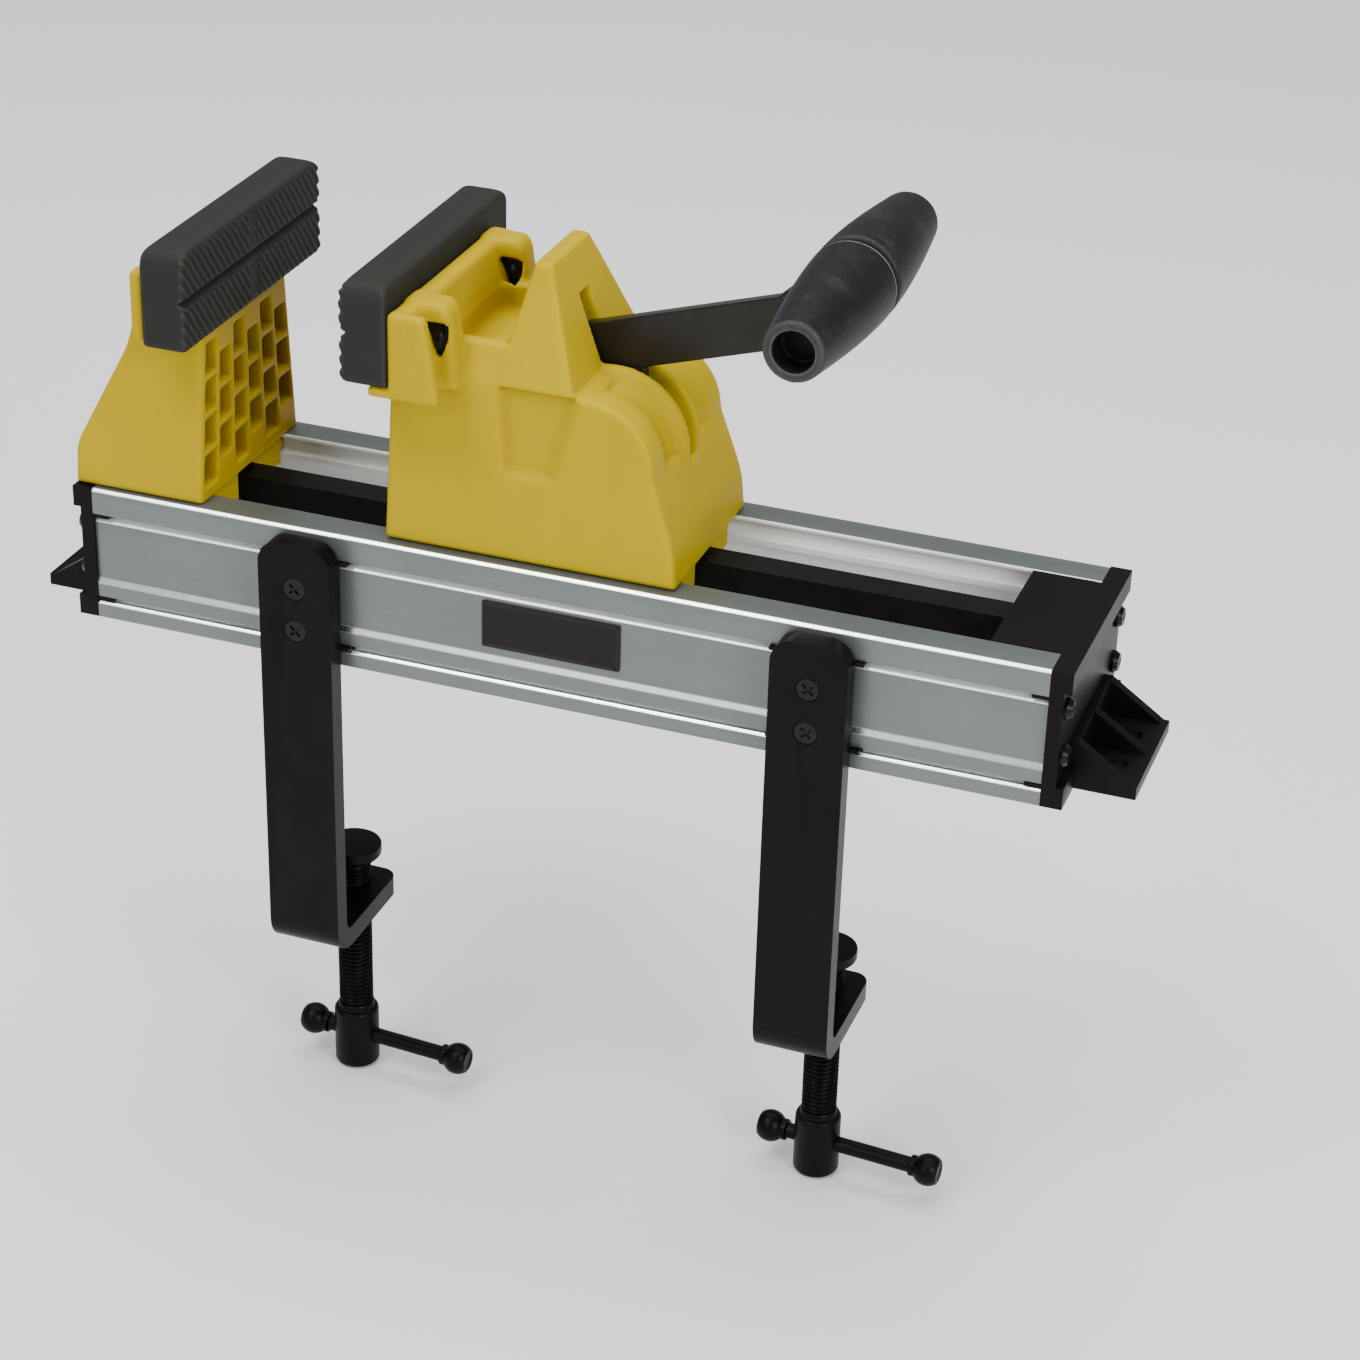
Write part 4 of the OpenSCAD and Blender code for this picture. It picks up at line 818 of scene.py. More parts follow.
class Fitter:
    """Turns surfaces and CAD nodes into pieces that ride on the frame's bodies."""

    def __init__(self) -> None:
        """Make the materials, by the record's slot names."""
        self.materials = {finish.name: finish.material() for finish in FINISHES}

    def fit(self, shape: Surface | bpy.types.Mesh, node: str, form: str, slot: str, sharp: float | None = None,
            weld: bool = False) -> bpy.types.Object:
        """Put a shape on the frame in place of a CAD node.

        Args:
            shape: A surface, or a mesh in metres, in the frame.
            node: The CAD node that it stands for, which starts its name.
            form: What the shape is, which ends its name.
            slot: The record's material slot.
            sharp: Angle in degrees over which edges stay sharp.
            weld: Merge points in one place and turn the faces outwards.

        Returns:
            The piece.
        """
        name = f"{node}_{form}"
        mesh = shape.mesh(name) if isinstance(shape, Surface) else shape
        mesh.name = name
        if weld:
            sewn = self.sew(mesh, 1e-6)
            bmesh.ops.recalc_face_normals(sewn, faces=sewn.faces)
            sewn.to_mesh(mesh)
            sewn.free()
        if sharp is not None:
            mesh.set_sharp_from_angle(angle=math.radians(sharp))
        mesh.materials.clear()
        mesh.materials.append(self.materials[slot])
        piece = shown(name, mesh)
        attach(piece, body_of(frame["nodes"][node])[0])
        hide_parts(node)
        LOG.info("%s stands for %s, %d faces", name, node, len(mesh.polygons))
        return piece

    @staticmethod
    def sew(mesh: bpy.types.Mesh, reach: float) -> bmesh.types.BMesh:
        """Open a mesh for editing, with points within that many metres merged.

        Args:
            mesh: The mesh.
            reach: The distance.

        Returns:
            The open mesh.
        """
        sewn = bmesh.new()
        sewn.from_mesh(mesh)
        bmesh.ops.remove_doubles(sewn, verts=sewn.verts, dist=reach)
        return sewn

    def soften(self, node: str, slot: str, edge_mm: float, steps: int, angle: float = 32) -> None:
        """Stand a merged copy of a CAD node's mesh in its place, with its edges broken.

        Args:
            node: The CAD node.
            slot: The record's material slot.
            edge_mm: Width of the broken edges.
            steps: Faces across a broken edge.
            angle: Edges sharper than this many degrees are broken.
        """
        mesh = frame["nodes"][node].data.copy()
        sewn = self.sew(mesh, 2e-6)
        bmesh.ops.dissolve_limit(sewn, angle_limit=math.radians(0.6), verts=sewn.verts, edges=sewn.edges)
        for face in sewn.faces:
            face.smooth = True
        sewn.to_mesh(mesh)
        sewn.free()
        bevel = self.fit(mesh, node, "dressed", slot, sharp=angle).modifiers.new("broken_edges", "BEVEL")
        bevel.width = edge_mm * MM
        bevel.segments = steps
        bevel.limit_method = "ANGLE"
        bevel.angle_limit = math.radians(angle)
        bevel.harden_normals = True


@dataclass
class Piece:
    """A part of the vise, put on the frame by its fitter."""

    fitter: Fitter


@dataclass
class Rails(Piece):
    """The two drawn alloy rails, mirror images across the middle, bright on broken edges, and pale in slots and on
    inner faces as painted light.
    """

    half_length: float = 179
    half_gap: float = 28.8
    width: float = 13.5
    corner: float = 0.3
    steps: int = 4
    inner: float = 9.0

    def outline(self) -> Array:
        """The rail's section: depth in from its outer face, and height, with its upper edges broken."""
        return np.array([
            (0, 0), (0, 5.4), (1.0, 6.4), (2.2, 6.4), (2.2, 4.0), (4.6, 4.0), (4.6, 8.2), (0.6, 8.2), (0.6, 13.4),
            (1.6, 15.6), (1.6, 38.4), (3.4, 40.2), (4.6, 40.2), (4.6, 44.4), (2.2, 44.4), (2.2, 42), (0, 42),
            (0, 50.9), (1.1, 52), (13.0, 52), (13.5, 51.5), (13.5, 50.5), (10, 50), (10, 45), (13.5, 44.5),
            (13.5, 41.7), (10, 41.2), (10, 12), (13.5, 10), (13.5, 0)])

    def shares(self, outline: Array) -> tuple[Array, Array]:
        """How bare and how pale each edge of the section is: bare where it looks outwards and up, pale in the
        slots and on the runners' side, where the paleness is painted light that stands in for reflections and lifts
        the shade in the slots.

        Args:
            outline: The section's corners.

        Returns:
            Two shares for each edge, from a corner to the next.
        """
        run = np.roll(outline, -1, 0) - outline
        facing = np.column_stack([-run[:, 1], run[:, 0]]) / np.linalg.norm(run, axis=1)[:, None]
        bare = facing @ np.array([-0.7071, 0.7071]) > 0.92
        middle = (outline + np.roll(outline, -1, 0)) / 2
        inside = (middle[:, 0] >= self.inner) & (middle[:, 1] < 51.9) & (middle[:, 1] > 1)
        slot = (middle[:, 0] > 1.9) & (middle[:, 0] < 5)
        return bare.astype(float), (inside | slot).astype(float)

    def build(self) -> None:
        """Draw both rails along X; at a rounded corner a share runs from one edge's to the next's."""
        corners = self.outline()
        section = rounded(corners, self.corner, self.steps)
        s = np.linspace(0, 1, self.steps)
        bare, pale = ((np.roll(share, 1)[:, None] * (1 - s) + share[:, None] * s).ravel()
                      for share in self.shares(corners))
        outer = self.half_gap + self.width
        for name, sign in (("front_rail", 1), ("rear_rail", -1)):
            placed = np.column_stack([sign * (section[:, 0] - outer), section[:, 1]])
            rings = [np.column_stack([np.full(len(placed), x), placed]) for x in (-self.half_length, self.half_length)]
            surface = Surface.tube(np.stack(rings))
            # The pale share, stored as hollow, is painted light.
            surface.edge, surface.hollow = np.tile(bare, 2), np.tile(pale, 2)
            self.fitter.fit(surface, name, "extrusion", "rail_alloy", sharp=40, weld=True)


# The pads' screws and the keels that both jaws run between the rails
SCREW_Z = 135.0
SCREW_HOLE = 2.7
KEEL_Y = (6.6, 28.4)


@dataclass
class JawPad(Piece):
    """A rubber jaw pad: a rounded block with two bands of slanted ribs, parted by a groove and a break."""

    node: str
    back: float
    facing: int
    half: float = 55
    low: float = 116.5
    high: float = 154
    thick: float = 18.5
    rib: float = 1.0
    pitch: float = 3.05
    slant: float = 37
    gap: float = 5.5
    groove: float = 2.1
    margin: float = 0.8

    def block_of(self, block: Block) -> Array:
        """The plain pad: three rounded outlines, seen along each axis, and their common part.

        Args:
            block: The grid.

        Returns:
            Signed distances.
        """
        front = self.thick - self.rib
        half = self.half - 0.5
        x, y, z = (0, front), (-half, half), (self.low, self.high)
        views = ((Axis.Y, x, z, [2, 3, 5, 6]), (Axis.Z, x, y, [1.5, 2.2, 2.2, 1.5]), (Axis.X, y, z, [3, 3, 7, 9]))
        solid = [block.prism(axis, rounded([(u[0], v[0]), (u[1], v[0]), (u[1], v[1]), (u[0], v[1])], radii, 7))
                 for axis, u, v, radii in views]
        return meet(meet(solid[0], solid[1], 1.5), solid[2], 1.5)

    def build(self) -> None:
        """Work the pad out with its back on X = 0, push its front out by the ribs' height, cut the groove, and
        put it in its place."""
        low, high = np.array([0, -self.half, self.low]), np.array([self.thick, self.half, self.high])
        block = Block(low - self.margin, high + self.margin, (0.55, 0.42, 0.5))
        y, z = block.y, block.z
        front, middle = self.thick - self.rib, (self.low + self.high) / 2
        angle = math.radians(self.slant)
        turn = (y * math.cos(angle) + (z - middle) * math.sin(angle)) / self.pitch
        tooth = np.clip(0.45 + 0.95 * np.cos(2 * np.pi * turn), 0, 1)
        fade = np.clip((np.abs(y) - self.gap / 2) / 0.7, 0, 1) * np.clip((self.high - 1.5 - z) / 2.5, 0, 1)
        fade = fade * np.clip((z - self.low - 0.8) / 1.8, 0, 1)
        near = np.clip((block.x - front + 2.6) / 2.2, 0, 1)
        solid = self.block_of(block) - self.rib * tooth * fade * near
        vee = np.abs(z - middle) - np.clip((block.x - front + 2.8) * 0.75, -1, self.groove)
        surface = block.skin(cut(solid, vee, 0.3))
        surface.points = surface.points * np.array([self.facing, 1, 1]) + np.array([self.back, 0, 0])
        if self.facing < 0:
            surface.faces = [face[:, ::-1] for face in surface.faces]
        self.fitter.fit(surface, self.node, "rubber", "pad_rubber")


@dataclass
class FixedJaw(Piece):
    """The fixed jaw: a leaning upright with a waffle of cells in its inner face and a plate behind its pad."""

    x0: float = -186.8
    face: float = -135.8
    rail_top: float = 52
    ledge: float = 116.5
    head_top: float = 141.5
    pad_back: float = -148.8
    plate: float = 5.2
    half_low: float = 40
    half_top: float = 33.5
    columns: int = 6
    rows: int = 4
    margin: float = 4
    rib: float = 2.4
    deep: float = 9
    step: float = 0.95

    def half(self, z: Array | float) -> Array | float:
        """Half the jaw's width at a height."""
        share = np.clip((z - self.rail_top) / (self.ledge - self.rail_top), 0, 1)
        return self.half_low - (self.half_low - self.half_top) * share

    def cells(self, block: Block) -> Array:
        """The waffle's cells, each column leaning with the jaw's sides and every second one half a cell higher.

        Args:
            block: The grid.

        Returns:
            Signed distances of all the cells together.
        """
        low = self.rail_top + self.margin
        rise = (self.ledge - self.margin - low) / self.rows
        inner = self.half(block.z) - 2
        column = (block.y / inner + 1) / 2 * self.columns
        wide = inner * 2 / self.columns
        number = np.floor(column)
        across = np.abs(column - number - 0.5) * wide - (wide - self.rib) / 2
        row = (block.z - low) / rise - (number % 2) * 0.5
        count = self.rows - number % 2
        up = np.abs(row - np.floor(row) - 0.5) * rise - (rise - self.rib) / 2
        outside = meet(meet(-row, row - count) * rise, meet(-column, column - self.columns) * wide)
        return meet(meet(meet(across, up), outside), self.face - self.deep - block.x, 0.8)

    def build(self) -> None:
        """Work the jaw out and put it on the frame."""
        block = Block((self.x0 - 1.5, -53.5, 38.5), (self.face + 1.5, 53.5, 145), self.step)
        side = rounded([
            (self.x0, self.rail_top), (self.face, self.rail_top), (self.face, self.ledge),
            (self.pad_back, self.ledge), (self.pad_back, self.head_top), (self.x0 + 27, self.head_top),
            (self.x0 + 21, 108), (self.x0, self.rail_top + 15)], [0.8, 0.8, 2.5, 0.5, 2, 4, 6, 4], 6)
        solid = meet(block.prism(Axis.Y, side), block.over - self.half(block.z), 2.4)
        plate = block.box((self.pad_back - self.plate, -52, self.ledge + 1.5),
                          (self.pad_back, 52, self.head_top + 2), 1.6)
        solid = join(solid, plate, 1.5)
        for across, low, high in ((KEEL_Y, 40, 53), ((28, 32), 45.8, 49.2)):
            keel = meet(block.slab(Axis.X, -154, self.face - 2), block.slab(Axis.Z, low, high))
            solid = join(solid, meet(keel, block.pair(*across)))
        solid = cut(solid, self.cells(block), 0.5)
        seat = np.hypot(block.over - 24, block.z - SCREW_Z)
        solid = cut(solid, meet(seat - 4.5, block.x - self.pad_back + self.plate), 0.5)
        solid = cut(solid, seat - SCREW_HOLE)
        under = meet(block.slab(Axis.X, self.x0 + 6, self.face - self.deep - 4), block.pair(5, 11))
        solid = cut(solid, meet(under, block.z - self.rail_top - 15))
        surface = block.skin(solid)
        x, y, z = surface.points.T
        # Painted shade over the waffle: its lands and cells take the hollow share, more towards +Y and deeper into the
        # cells, standing in for the shade on this face.
        inner = (np.abs(y) < self.half(z) - 1.5) & (z > self.rail_top + 2) & (z < self.ledge - 2)
        least = 0.5 + y / (2.2 * self.half_low)
        depth = np.clip((self.face - 1.2 - x) / 4, least, 1) * (x > self.face - self.deep - 1)
        surface.hollow = np.maximum(surface.hollow, np.clip(depth, 0, 1) * inner)
        self.fitter.fit(surface, "fixed_jaw", "casting", "jaw_yellow")


# The window through a boss of the moving jaw, in X and Z, and how far both bosses stand from the middle
BOSS_Y = 33.0
WINDOW = rounded([(-48.6, 137.4), (-46.2, 131), (-44.2, 125), (-42.4, 124.8), (-39.9, 131), (-40, 137.4)],
                 [0.6, 4, 1.5, 1.5, 4, 2], 6)


@dataclass
class MovingJaw(Piece):
    """The moving jaw: a drafted body with a hump over the lever's pivot, a fin, and a carrier with two bosses."""

    x0: float = -64.8
    x1: float = 44.2
    low: float = 52.3
    deck: float = 118
    pad_back: float = -55.8
    pivot_x: float = 9.7
    pivot_z: float = 91
    hump: float = 25
    lip: float = 3.1
    dip: float = 3
    half_low: float = 38
    half_deck: float = 34.5
    fin_top: float = 157
    saddle: float = 129.5
    plate_low: float = 113
    plate_top: float = 144
    plate_half: float = 53
    boss_half: float = 6
    wall: float = 6
    slot: float = 4
    shoe: float = 6.2
    bush: float = 6.7
    bush_half: float = 12
    pit_half: float = 24.5
    step: float = 1.04

    def half(self, z: Array | float) -> Array | float:
        """Half the body's width at a height."""
        share = np.clip((z - self.low) / (self.deck - self.low), 0, 1)
        return self.half_low - (self.half_low - self.half_deck) * share

    def shell(self, block: Block) -> Array:
        """The body, the hump with its raised lips beside the slot, the fin and the saddle before it.

        Args:
            block: The grid.

        Returns:
            Signed distances of them all together.
        """
        over = block.over
        width = over - self.half(block.z)
        side = rounded([
            (self.x0, self.low), (self.x1, self.low), (self.x1 - 0.9, 66), (self.pivot_x + self.hump, self.pivot_z),
            (self.pivot_x, self.pivot_z), (self.pivot_x, self.pivot_z + self.hump - 1), (1, self.deck),
            (-40.3, self.deck), (-53.8, 115), (self.x0 + 1.5, self.plate_low)],
            [0.8, 0.8, 8, 3, 0.3, 1, 4, 3, 3, 1], 6)
        step = np.clip((10 - over) / 3, 0, 1)
        ring = self.lip * step * step * (3 - 2 * step) - self.dip * np.exp(-((over - 14) / 7) ** 2)
        hump = block.rod(Axis.Y, (self.pivot_x, self.pivot_z), self.hump + ring)
        body = meet(join(block.prism(Axis.Y, side), hump, 1.0), width, 1.8)
        root = self.deck - 4
        fin_side = rounded([(-24.9, root), (-16.3, self.fin_top), (-10.3, self.fin_top), (5.2, root)], 1.6, 5)
        fin_front = rounded([(-34, root), (-34, self.deck), (-17.5, self.fin_top), (17.5, self.fin_top),
                             (34, self.deck), (34, root)], [0.3, 1, 2, 2, 1, 0.3], 5)
        leaning = block.prism(Axis.X, fin_front)
        fin = meet(block.prism(Axis.Y, fin_side), leaning, 1.4)
        saddle = meet(meet(block.slab(Axis.X, -49.8, -16.3), leaning, 1.0), block.z - self.saddle, 1.0)
        return join(body, join(fin, saddle, 0.6), 0.8)

    def carrier(self, block: Block) -> Array:
        """The plate behind the pad with a wall at its near end and the two bosses that take the pad's screws.

        Args:
            block: The grid.

        Returns:
            Signed distances of the carrier.
        """
        low, top = self.plate_low, self.plate_top
        foot = [(self.pad_back, top), (self.pad_back, low + 3.3), (self.x0 + 1.5, low + 3.3), (self.x0 + 1.5, low)]
        bends = [2, 2.5, 1.5, 0.3, 0.8, 0.8]
        thin, deep = (block.prism(Axis.Y, rounded([(x0, low), (x1, top)] + foot, bends, 6))
                      for x0, x1 in ((-42, -49), (-37.3, -42.6)))
        plate = meet(thin, block.over - self.plate_half, 2.0)
        plate = meet(plate, 0.8 * (block.y - 39) + 0.6 * (block.z - top), 2.0)
        wall = meet(deep, np.abs(block.y + 50.75) - 2.25, 1.2)
        arch = [(-56, low), (-36.5, low), (-38, 134), (-40, top + 0.6), (-55.8, top)]
        boss = block.prism(Axis.Y, rounded(arch, [0.3, 1, 5, 7, 1.5], 8))
        boss = meet(boss, block.pair(BOSS_Y - self.boss_half, BOSS_Y + self.boss_half), 3.0)
        return join(join(plate, wall, 1.0), boss, 2.0)

    def hollows(self, block: Block, solid: Array) -> Array:
        """Cut the side recesses, the lever's slot, the rooms inside, the pit before the fin and the bosses' windows.

        Args:
            block: The grid.
            solid: Signed distances before the cuts.

        Returns:
            Signed distances after them.
        """
        x, over, z = block.x, block.over, block.z
        depth = self.half(z) - over
        left = (-24 + (self.deck - z) * 0.1 - x) * 0.99 + 0.6 * depth
        right = (x - 8.7 + (self.deck - z) * 0.265) * 0.967 + 1.6 * depth
        floor = 84 - z + 0.7 * depth
        recess = meet(meet(left, right, 1.5), floor, 1.5)
        recess = meet(recess, meet(depth - 3.5, z - self.deck + 2), 0.8)
        solid = cut(solid, recess, 0.8)
        room = [(-10.3, 71), (31.7, 71), (31.7, 86), (66, 86), (66, 160), (-18.8, 138), (-18.8, 114)]
        solid = cut(solid, meet(block.prism(Axis.Y, room), over - self.slot), 1.4)
        shoe = meet(block.slab(Axis.X, -17.3, 36.7), block.slab(Axis.Z, 57, 76))
        shoe = join(shoe, meet(block.slab(Axis.X, -8.6, 28), block.slab(Axis.Z, 40, 58)))
        solid = cut(solid, meet(shoe, over - self.shoe))
        start, end = self.x0 + self.wall, self.x1 - self.wall
        bend = np.linspace(0, np.pi / 2, 8)
        inside = np.vstack([
            [(start, 57), (end, 57), (end - 0.9, 66)],
            np.column_stack([np.cos(bend), np.sin(bend)]) * (self.hump - self.wall) + (self.pivot_x, self.pivot_z),
            [(-40.3, self.deck - self.wall), (start + 1.5, 107)]])
        cavity = meet(block.prism(Axis.Y, inside), block.pair(11, 27.5))
        mouth = meet(block.slab(Axis.X, start, end), block.slab(Axis.Z, 38, 58))
        solid = cut(solid, join(cavity, meet(mouth, block.pair(11, 19))))
        solid = cut(solid, meet(block.rod(Axis.Y, (self.pivot_x, self.pivot_z), self.bush), over - self.bush_half))
        pit = meet(meet(block.slab(Axis.X, -45.6, -26.5), over - self.pit_half, 5.0), self.deck + 1.5 - z, 3.0)
        solid = cut(solid, meet(pit, z - 140), 1.2)
        through = self.boss_half + 1.5
        window = meet(block.prism(Axis.Y, WINDOW), block.pair(BOSS_Y - through, BOSS_Y + through))
        solid = cut(solid, window, 0.4)
        hole = np.hypot(over - 32, z - SCREW_Z) - SCREW_HOLE
        return cut(solid, meet(hole, block.slab(Axis.X, -60, -45)))

    def build(self) -> None:
        """Work the jaw out and put it on the frame."""
        block = Block((self.x0 - 1.5, -54.5, 38.5), (self.x1 + 1.5, 54.5, self.fin_top + 1.5), self.step)
        solid = join(self.shell(block), self.carrier(block), 1.6)
        keel = meet(block.slab(Axis.X, self.x0 + 3, self.x1 - 3), block.slab(Axis.Z, 40, 53.5))
        solid = join(solid, meet(keel, block.pair(*KEEL_Y)))
        runner = meet(block.slab(Axis.X, self.x0 + 4.7, self.x1 - 4.7), block.slab(Axis.Z, 45.3, 49.7))
        solid = cut(solid, meet(runner, 23.5 - block.over))
        self.fitter.fit(block.skin(self.hollows(block, solid)), "moving_jaw", "casting", "jaw_yellow")


@dataclass
class PadScrews(Piece):
    """The moving pad's two screws: a shank, a black plug that fills the boss's window as painted shade, and a round
    head across it.
    """

    shank: float = 2.5
    tip: float = -66
    neck: float = -45
    head: float = 5.7
    head_z: float = 131
    gap: float = 32
    retainer: float = 4.4
    play: float = 0.3

    def build(self) -> None:
        """Work both screws out and put them on the frame as one piece."""
        parts = []
        for sign in (-1, 1):
            middle = sign * BOSS_Y
            block = Block((self.tip - 0.5, middle - 6.5, 123.5), (-39, middle + 6.5, 138.5), 0.3)
            across = np.abs(block.y - middle)
            # The plug fills the window with the black screw finish: painted shade for the window's inside.
            solid = meet(block.prism(Axis.Y, WINDOW) + self.play, across - self.retainer, 0.4)
            head = np.hypot(across, block.z - self.head_z) - self.head
            solid = join(solid, meet(head, block.slab(Axis.X, self.neck, self.neck + 3), 1.0), 0.3)
            stem = np.hypot(block.y - sign * self.gap, block.z - SCREW_Z) - self.shank
            parts.append(block.skin(join(solid, meet(stem, block.slab(Axis.X, self.tip, self.neck), 0.3))))
        self.fitter.fit(Surface.joined(parts), "moving_pad_screws", "domed", "black_screw")


@dataclass
class Handle(Piece):
    """The cross handle: two rubber grips on a tube, meeting in a groove at the lever."""

    x: float = 90.95
    z: float = 159.35
    front: float = -64
    rear: float = 66.35
    widest: float = 2
    middle: float = 15.9
    end: float = 10.5
    hole: float = 7.5
    lip: float = 0.2
    deep: float = 10.5
    bore: float = 6.6
    tube: float = 52.45
    seam: float = 1.2
    groove: float = 3
    eye: float = 12.3
    eye_x: float = 90.15
    eye_z: float = 160.98
    slot: float = 2.8
    slope: float = 17

    def radius(self, y: Array) -> Array:
        """The grip's radius along Y: the middle's less a cubic share of the fall, rounded off at the ends and
        rolled in at the groove.

        Args:
            y: Distances along the handle.

        Returns:
            Radii.
        """
        s = np.abs(y - self.widest) / (self.widest - self.front)
        full = self.middle - (self.middle - self.end) * s * s * (3 - s) / 2
        tip = np.clip(1 - np.minimum(y - self.front, self.rear - y) / 1.2, 0, 1)
        rolled = np.clip(1 - (np.abs(y - self.seam) - self.groove / 2) / 1.5, 0, 1)
        return full - 0.9 * (1 - np.sqrt(1 - tip ** 2)) - 1.3 * (1 - np.sqrt(1 - rolled ** 2))

    def build(self) -> None:
        """Work each grip out: the turned body less its end hole, its bore and the lever's room."""
        edge = self.groove / 2
        turn = math.radians(self.slope)
        grips = (("front_grip", self.front, self.seam - edge), ("rear_grip", self.seam + edge, self.rear))
        for node, low, high in grips:
            block = Block((self.x - 17.4, low - 1, self.z - 17.4), (self.x + 17.4, high + 1, self.z + 17.4), 0.58)
            y = block.y
            inward = np.minimum(y - self.front, self.rear - y)
            radial = block.rod(Axis.Y, (self.x, self.z), 0)
            solid = meet((radial - self.radius(y)) * 0.97, meet(low - y, y - high), 0.35)
            solid = cut(solid, meet(radial - self.hole + self.lip * (inward < 3), inward - self.deep), 0.3)
            solid = cut(solid, meet(radial - self.bore, np.abs(y) - self.tube))
            x, z = block.x - self.eye_x, block.z - self.eye_z
            bar = meet(x * math.cos(turn) + z * math.sin(turn),
                       np.abs(z * math.cos(turn) - x * math.sin(turn) + 9) - 13)
            solid = cut(solid, meet(join(np.hypot(x, z) - self.eye, bar), np.abs(y) - self.slot))
            surface = block.skin(solid)
            # Painted highlight: the edge share gets a bright band on the front grip's lip at the groove and a faint
            # ring at its far end; other edges are toned down.
            at = surface.points[:, 1]
            rim = np.clip(2 - np.abs(at - high + 0.9) / 0.5, 0, 1) * (low < 0) + 0.12 * (at < self.front + 0.5)
            surface.edge = np.clip(0.35 * surface.edge + rim, 0, 1)
            self.fitter.fit(surface, node, "rubber", "grip_rubber")


@dataclass
class ClampScrew(Piece):
    """One clamp's moving parts: the threaded screw with its barrel head, and the tommy bar with ball knobs."""

    side: Side
    x: float
    y: float = -8
    tip: float = -104.2
    neck_top: float = -100
    shoulder: float = -169
    foot: float = -196.9
    radius: float = 6.75
    head: float = 8.75
    pitch: float = 1.9
    bar_z: float = -184.12
    bar_radius: float = 3.05
    bar_half: float = 32
    shift: float = 13
    knob: float = 6.25
    direction: Point = (0.997564, -0.069756, 0)

    def barrel(self) -> Array:
        """The head's outline from its foot to its shoulder: a straight barrel with rolled edges and a collar.

        Returns:
            Heights and radii.
        """
        s = np.linspace(0, np.pi / 2, 6)
        roll = np.column_stack([self.foot + 1.6 * (1 - np.cos(s)), self.head - 1.6 + 1.6 * np.sin(s)])
        cap = np.column_stack([self.shoulder - 4.4 + 1.8 * np.sin(s), self.head - 1.6 + 1.6 * np.cos(s)])
        return np.vstack([[(self.foot, 0)], roll, cap, [(self.shoulder - 2.4, 7.1), (self.shoulder - 0.5, 7.0),
                                                        (self.shoulder, 6.5), (self.shoulder, 0)]])

    def ball(self) -> Array:
        """A knob's outline, outwards along the bar: a collar, then a ball whose far end is flat with a soft rim.

        Returns:
            Distances from the knob's middle and radii.
        """
        s = np.linspace(math.radians(140), math.radians(48), 16)
        ball = np.column_stack([np.cos(s), np.sin(s)]) * self.knob
        flat = ball[-1, 0]
        return np.vstack([[(-7.2, 0), (-7.2, 3.5), (-6.8, 4.1), (-5.9, 4.2)], ball,
                          [(flat + 0.25, ball[-1, 1] - 0.9), (flat - 0.1, ball[-1, 1] - 1.5), (flat - 0.1, 0)]])

    def build(self) -> None:
        """Build the screw, the bar and the knobs."""
        upright = Spindle((self.x, self.y, 0), (0, 0, 1))
        thread = upright.threaded(self.shoulder - 0.5, self.tip, self.radius, 1.0, self.pitch)
        stem = np.array([(self.tip - 1, 0), (self.tip - 1, 3.9), (self.neck_top - 0.4, 3.9), (self.neck_top, 3.5),
                         (self.neck_top, 0)])
        screw = Surface.joined([thread, upright.turned(self.barrel()), upright.turned(stem, 32)])
        bar = Spindle((self.x, self.y, self.bar_z), self.direction)
        low, high = self.shift - self.bar_half, self.shift + self.bar_half
        rod = np.array([(low, 0), (low, self.bar_radius), (high, self.bar_radius), (high, 0)])
        ends = [bar.turned(self.ball() * (sign, 1) + (self.shift + sign * self.bar_half, 0), 40) for sign in (-1, 1)]
        for surface, node, form, sharp in (
                (screw, "clamp_screw", "thread", 42), (bar.turned(rod, 32), "tommy_bar", "rod", 50),
                (Surface.joined(ends), "tommy_knobs", "turned", 38)):
            self.fitter.fit(surface, f"{self.side.word}_{node}", form, "clamp_black", sharp, weld=True)


@dataclass
class Nameplate(Piece):
    """The thin blank plate on the front rail, with a raised rim."""

    rim: float = 1.2

    def build(self) -> None:
        """Work the plate out in the box of its node."""
        low, high = (np.array(corner) * 1000 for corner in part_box("nameplate"))
        block = Block(low - 0.5, high + 0.5, (0.45, 0.16, 0.45))
        plate = block.box(low, high, 0.3)
        inner = meet(block.slab(Axis.X, low[0] + self.rim, high[0] - self.rim),
                     block.slab(Axis.Z, low[2] + self.rim, high[2] - self.rim), 0.8)
        field = cut(plate, meet(inner, block.y - low[1] - 0.35), 0.1)
        self.fitter.fit(block.skin(field), "nameplate", "blank", "plate_black")


@dataclass
class ReturnSprings(Piece):
    """The two coil springs that lift the brake shoe."""

    wire: float = 0.5
    turns: float = 6.5

    def build(self) -> None:
        """Coil a spring at each end of the node's box."""
        low, high = (np.array(corner) * 1000 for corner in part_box("return_springs"))
        outer, y = (high[1] - low[1]) / 2, (low[1] + high[1]) / 2
        coils = [Spindle((x, y, 0), (0, 0, 1)).coiled(low[2], high[2], outer - self.wire, self.wire, self.turns)
                 for x in (low[0] + outer, high[0] - outer)]
        piece = self.fitter.fit(Surface.joined(coils), "return_springs", "coils", "bright_steel", weld=True)
        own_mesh(piece)


